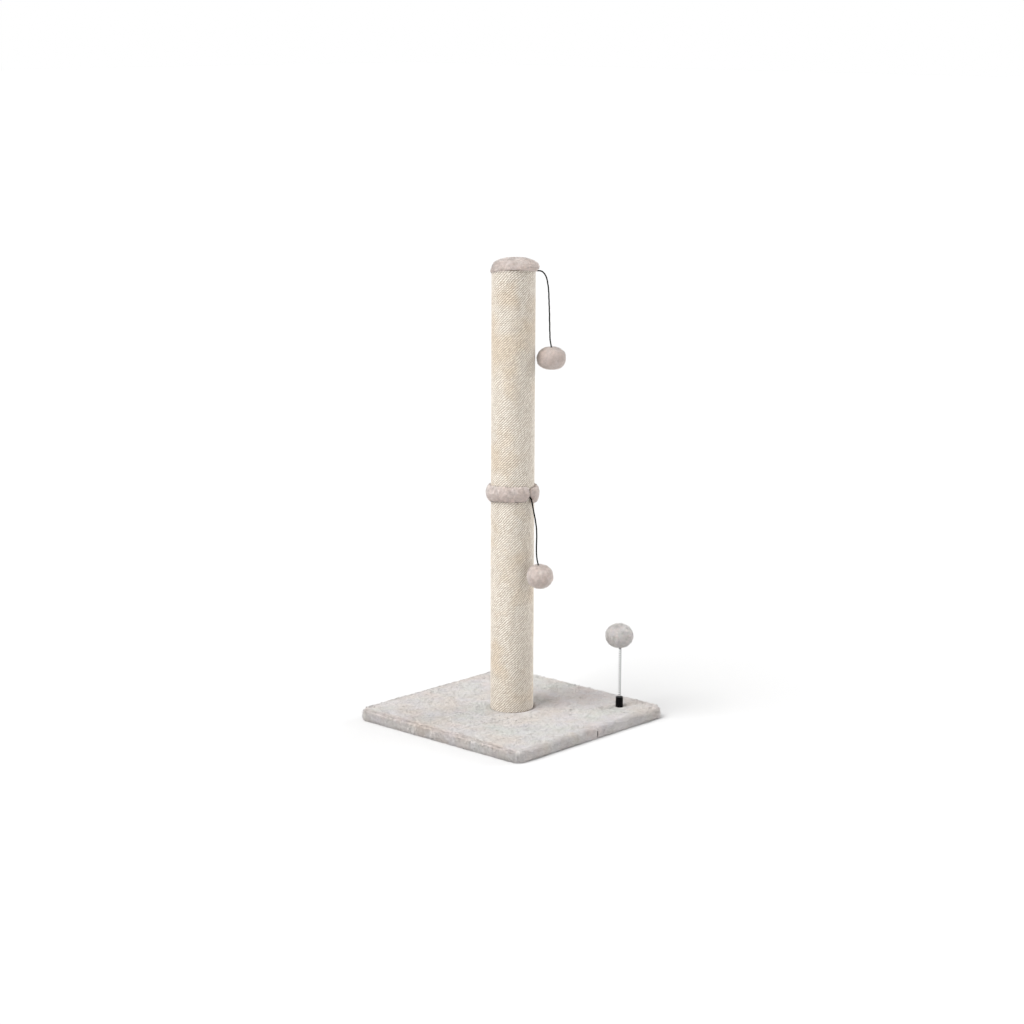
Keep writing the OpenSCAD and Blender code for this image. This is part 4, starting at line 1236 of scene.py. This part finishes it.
class POST_OT_collar(bpy.types.Operator):
    """Makes the padded plush roll over the joint of the post"""

    bl_idname = "post.collar"
    bl_label = "Collar"

    half_gap = 1.65 * MM
    pile_room = 1.2 * MM
    end_round = 11 * MM
    # The collar's end that faces the camera sits higher than its other end
    raise_front = 4.5 * MM
    columns = 32
    # Least way from the cord at which the skin has pile
    pile_clear = 3.2 * MM
    # Turns of the cord round its hole at which it must pass the parting's lips
    cord_turns = np.radians((-70, -50, -25, 0, 25, 50, 70))
    # The points of the cord's route from its hole to below the collar
    near_hole = slice(len(HELD_END), 12)

    def from_cord(self, points, sizes):
        """How far points are from the lower cord near its hole, at all its turns."""
        section = JOINT_Z - sizes.cord_drop
        way = np.array([math.cos(LOWER_ANGLE), math.sin(LOWER_ANGLE), 0])
        across = np.array([-way[1], way[0], 0])
        hole = way * POST_R + (0, 0, section)
        steps = toy_line(LOWER_ANGLE, section, LOWER_ROUTE, LOWER_ASIDE)[self.near_hole]
        steps = spline(steps, 1 * MM) - hole
        far = np.full(points.shape[:-1], 1.0)
        for a in self.cord_turns:
            aside, up = steps @ across, steps[:, 2]
            turned = np.outer(aside * math.cos(a) + up * math.sin(a), across)
            turned += np.outer(steps @ way, way) + hole
            turned[:, 2] += up * math.cos(a) - aside * math.sin(a)
            for spot in turned:
                far = np.minimum(far, np.linalg.norm(points - spot, axis=-1))
        return far

    def roll(self, node_name, inset_out, inset_up, steps, seed):
        """A roll round the post, parted where the lower cord comes out."""
        low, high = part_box(node_name)
        inner = POST_R + 0.5 * MM
        outer = high.x - inset_out
        radius = inner + 1 * MM
        middle = (low.z + high.z) / 2
        half_r, half_z = outer - radius, (high.z - low.z) / 2 - inset_up
        gap = (self.half_gap + 0.4 * MM) / radius
        turn = PARTING_ANGLE + np.linspace(gap, TURN - gap, steps)[:, None]
        run = radius * np.minimum(turn - turn[0], turn[-1] - turn)
        full_size = np.sqrt(np.clip(1 - (1 - np.minimum(run / self.end_round, 1)) ** 2, 0.03, 1))
        raised = ease(turn - turn[0], math.radians(200), math.radians(290))
        a = TURN * np.arange(self.columns)[None, :] / self.columns
        across = np.sign(np.cos(a)) * np.abs(np.cos(a)) ** (2 / 2.1) * half_r * full_size
        along = np.sign(np.sin(a)) * np.abs(np.sin(a)) ** (2 / 2.1) * half_z
        along = along * (0.5 + 0.5 * full_size) * (1 - 0.08 * raised)
        across = np.where(across > 0, across * (1 - 0.15 * ease(-np.sin(a), 0, 1)),
                          across * 1 * MM / half_r)
        spot = np.concatenate([np.cos(turn), np.sin(turn), 0 * turn], axis=1)[:, None] * radius
        spot = spot + np.zeros((1, self.columns, 3))
        swell = 0.4 * MM * ripple(spot, 26 * MM, seed) + 0.15 * MM * ripple(spot, 8 * MM, seed + 1)
        swell = swell * ease(across, -0.2 * half_r, 0.6 * half_r)
        pucker = np.cos(31 * turn + 1.4 * np.sin(5 * turn)) * np.sin(a) ** 8 * 0.45 * MM
        out = radius + across + swell
        up = middle + along + pucker + self.raise_front * raised
        # The cord presses its way between the two lips
        opened = 1.4 * MM * np.exp(-(((up - JOINT_Z + 5 * MM) / (5 * MM)) ** 2))
        opened = opened * np.exp(-run / (4 * MM)) / radius
        turn = turn + opened * np.where(turn < PARTING_ANGLE + TURN / 2, 1, -1)
        return np.stack([out * np.cos(turn), out * np.sin(turn), up], axis=-1), a, full_size

    def execute(self, context):
        grid, a, full_size = self.roll("collar_cover", self.pile_room, 1.9 * MM, 190, 61)
        skin = grid_piece("collar_plush_cover", grid, FINISHES["warm_plush"])
        held = (np.cos(a) < 0.05) | (full_size < 0.7)
        clear = self.from_cord(grid, context.scene.post_sizes) > self.pile_clear
        mark(skin, "furry", 1.0 * ((np.cos(a) > -0.6) & (full_size > 0.4) & clear).ravel())
        wait_to_fill(
            skin, held.ravel(), body="root", nodes=["collar_cover"], slot="warm_plush",
            finish="warm_plush", count=19000, nap=(0.2, -0.2, -0.75), fill=0.7, standing=0.12,
            shade_z=(JOINT_Z - 5 * MM, JOINT_Z + 9 * MM))
        grid, _, _ = self.roll("collar_filling", 0.4 * MM, 0.4 * MM, 120, 63)
        outward = unit(grid * np.array([1, 1, 0]))
        piece = grid_piece("collar_fibre_filling", grid - 0.36 * MM * outward,
                           FINISHES["fibre_filling"])
        skin_marks(piece)
        dressed(piece, "root", ["collar_filling"])
        return {"FINISHED"}


class POST_OT_balls(bpy.types.Operator):
    """Makes the plush balls of the two hanging toys and of the spring toy"""

    bl_idname = "post.balls"
    bl_label = "Balls"

    pile_room = 1.5 * MM
    thick = 2 * MM
    dimple = 1.4 * MM
    cord_mouth = 1.9 * MM
    spring_mouth = 3.5 * MM

    def ball(self, toy, body, slot, finish, mouth_r, mouth_up, power, off, entry, fuller, seed):
        """One ball, drawn in to a small mouth where its cord or spring goes in.

        In millimetres, off is how far the ball is moved from its plain solid, entry is where its
        mouth lies beside the solid's middle, and fuller is what its radius and half of its height
        gain. A higher power makes its section squarer.
        """
        middle, half = centre_and_half(f"{toy}_cover")
        off = np.array(off) * MM
        middle = middle + off
        skin_r = half[0] - self.pile_room + fuller[0] * MM
        skin_h = half[2] - 0.7 * self.pile_room + fuller[1] * MM
        steep = TURN / 4 * 0.985
        mouth = math.acos((mouth_r / skin_r) ** (power / 2))
        inner_mouth = math.acos((mouth_r / (skin_r - self.thick)) ** (power / 2))
        inside = bulge(skin_r - self.thick, skin_h - self.thick, power, -steep, inner_mouth, 16)
        outside = bulge(skin_r, skin_h, power, mouth, -steep, 34)
        profile = np.vstack([inside, outside])
        profile[:, 1] -= self.dimple * np.exp(-((profile[:, 0] / (5 * MM)) ** 2)) * (
            profile[:, 1] > 0)
        if not mouth_up:
            profile[:, 1] *= -1
        grid = lathe(profile, 72)
        turn = np.arctan2(grid[..., 1], grid[..., 0])
        reach = np.linalg.norm(grid[..., :2], axis=-1)
        mouth_side = grid[..., 2] * (1 if mouth_up else -1) > 0
        gather = np.cos(9 * turn + seed) * np.exp(-((reach / (9 * MM)) ** 2)) * mouth_side
        out = unit(grid)
        uneven = 0.5 * MM * ripple(grid, 20 * MM, seed) - 0.35 * MM
        grid = grid + (uneven * ease(reach, 4 * MM, 12 * MM) + 0.4 * MM * gather)[..., None] * out
        near = np.exp(-((reach / (14 * MM)) ** 2)) * mouth_side
        grid[..., :2] += near[..., None] * (np.array(entry) * MM - off[:2])
        skin = grid_piece(f"{toy}_plush", grid + middle, FINISHES[finish])
        row = np.arange(len(grid))[:, None] + 0 * turn
        mark(skin, "furry", 1.0 * (row > len(inside)).ravel())
        wait_to_fill(
            skin, (row < len(inside) + 3).ravel(), body=body, nodes=[f"{toy}_cover"], slot=slot,
            finish=finish, count=9000, nap=(0.15, -0.2, -0.5), fill=0.9)
        lump(f"{toy}_foam_core", f"{toy}_core", body, self.core_slot(toy), 2.3, seed + 7, off)

    def core_slot(self, toy):
        """The record's material slot of a ball's core."""
        return next(s["material_slot"] for s in frame["record"]["subparts"]
                    if s["node"] == f"{toy}_core")

    def execute(self, context):
        mouth = self.cord_mouth
        self.ball("upper_toy", "upper_ball", "warm_plush", "warm_plush", mouth, True, 2.4,
                  (0.3, -0.3, -0.4), (0, 0), (0.4, 0), 71)
        self.ball("lower_toy", "lower_ball", "warm_plush", "warm_plush", mouth, True, 2.15,
                  (1.6, -1.8, -2.3), (-0.6, 1.2), (0.7, 0.2), 73)
        self.ball("spring_toy", "spring_ball", "base_plush", "grey_plush",
                  self.spring_mouth, False, 2.1, (-1, 1.1, 0), (0, 0), (1.2, -0.4), 75)
        return {"FINISHED"}


class POST_OT_fill(bpy.types.Operator):
    """Fills cap, collar and balls like stuffed cloth, and gives them their pile"""

    bl_idname = "post.fill"
    bl_label = "Fill and pile"

    # How far the filling may push a skin, and the depth and size of its fine relief
    most_push = 1.2 * MM
    relief_depth = 0.4 * MM
    relief_size = 7 * MM
    lying = 79
    first_seed = 90

    def execute(self, context):
        length = context.scene.post_sizes.toy_pile
        simulate([s["skin"] for s in SKINS], [s["held"] for s in SKINS], self.most_push)
        for seed, s in enumerate(SKINS, self.first_seed):
            skin = refine(s["skin"], self.relief_depth, self.relief_size, seed)
            level = surface(skin)[0][:, 2]
            # Skins that have shade_z get painted shade over their lower part, strongest below the first of those
            # levels
            skin_marks(skin, 0.35 + 0.8 * ease(level, *s["shade_z"]) if "shade_z" in s else 1.0)
            hair = tufts(f"{skin.name}_pile", skin, s["count"], length, FINISHES[s["finish"]],
                         s["nap"], self.lying, seed, standing=s.get("standing", 0.25))
            dressed(skin, s["body"], s["nodes"])
            dressed(hair, s["body"])
        SKINS.clear()
        return {"FINISHED"}


# Spring


class POST_OT_spring(bpy.types.Operator):
    """Makes the thin wire spring that carries the ball on the base"""

    bl_idname = "post.spring"
    bl_label = "Spring"

    sides = 10
    steps_per_turn = 30
    # Height above the first joint at which the spring is parted into its two halves
    bend_half = 23.5 * MM
    # How much wider the coil is drawn than its plain solid
    wider = 0.8 * MM

    def execute(self, context):
        sizes = context.scene.post_sizes
        low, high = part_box("toy_spring")
        x, y = (low.x + high.x) / 2, (low.y + high.y) / 2
        joints = {j["name"]: j["pos_m"][2] for j in frame["joints"]}
        part = joints["spring_tilt_x"] + self.bend_half
        coil_r = (high.x - low.x + self.wider - sizes.wire_d) / 2
        bottom, top = low.z + sizes.wire_d / 2, high.z - sizes.wire_d / 2
        pitch = (top - bottom) / sizes.spring_turns
        halves = (("lower", bottom, part, "root", "spring", joints["spring_tilt_x"]),
                  ("upper", part, top, "spring", "spring_ball", joints["spring_tilt_y"]))
        for name, start, stop, first, second, joint_z in halves:
            turns = (stop - start) / pitch
            count = int(turns * self.steps_per_turn)
            turn = TURN * ((start - bottom) / pitch + np.linspace(0, turns, count + 1))
            level = np.linspace(start, stop, count + 1)
            line = np.column_stack([x + coil_r * np.cos(turn), y + coil_r * np.sin(turn), level])
            guide = np.column_stack([np.cos(turn), np.sin(turn), 0 * turn])
            radius = np.full((count + 1, self.sides), sizes.wire_d / 2)
            piece = grid_piece(f"spring_wire_{name}", tube(line, radius, self.sides, guide),
                               FINISHES["spring_wire"])
            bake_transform(piece)
            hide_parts("toy_spring")
        return {"FINISHED"}


# Add-on


class POST_OT_finishes(bpy.types.Operator):
    """Makes the materials and gives them to the plain solids that stay in sight"""

    bl_idname = "post.finishes"
    bl_label = "Finishes"

    def execute(self, context):
        make_finishes(context.scene.post_colours)
        for part in frame["record"]["subparts"]:
            for place_in_mesh in frame["nodes"][part["node"]].material_slots:
                place_in_mesh.material = FINISHES[part["material_slot"]]
        return {"FINISHED"}


STEPS = (POST_OT_stage, POST_OT_finishes, POST_OT_cords, POST_OT_rope, POST_OT_base, POST_OT_cap,
         POST_OT_collar, POST_OT_balls, POST_OT_fill, POST_OT_spring)


class POST_PT_panel(bpy.types.Panel):
    """Lists the steps of the post and its sizes and colours"""

    bl_idname = "POST_PT_panel"
    bl_label = "Scratching Post"
    bl_space_type = "VIEW_3D"
    bl_region_type = "UI"
    bl_category = "Post"

    def draw(self, context):
        steps = self.layout.column(align=True)
        for step in STEPS:
            steps.operator(step.bl_idname)
        for settings in (context.scene.post_sizes, context.scene.post_colours):
            column = self.layout.column()
            for name in settings.__annotations__:
                column.prop(settings, name)


CLASSES = (PostSizes, PostColours, *STEPS, POST_PT_panel)


def register():
    """Adds the classes and the scene's own settings."""
    for made in CLASSES:
        bpy.utils.register_class(made)
    bpy.types.Scene.post_sizes = PointerProperty(type=PostSizes)
    bpy.types.Scene.post_colours = PointerProperty(type=PostColours)


def unregister():
    """Takes away what register added."""
    del bpy.types.Scene.post_colours
    del bpy.types.Scene.post_sizes
    for made in reversed(CLASSES):
        bpy.utils.unregister_class(made)


def main():
    """Builds everything."""
    register()
    for step in STEPS:
        group, name = step.bl_idname.split(".")
        getattr(getattr(bpy.ops, group), name)()
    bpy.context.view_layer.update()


if __name__ == "__main__":
    main()
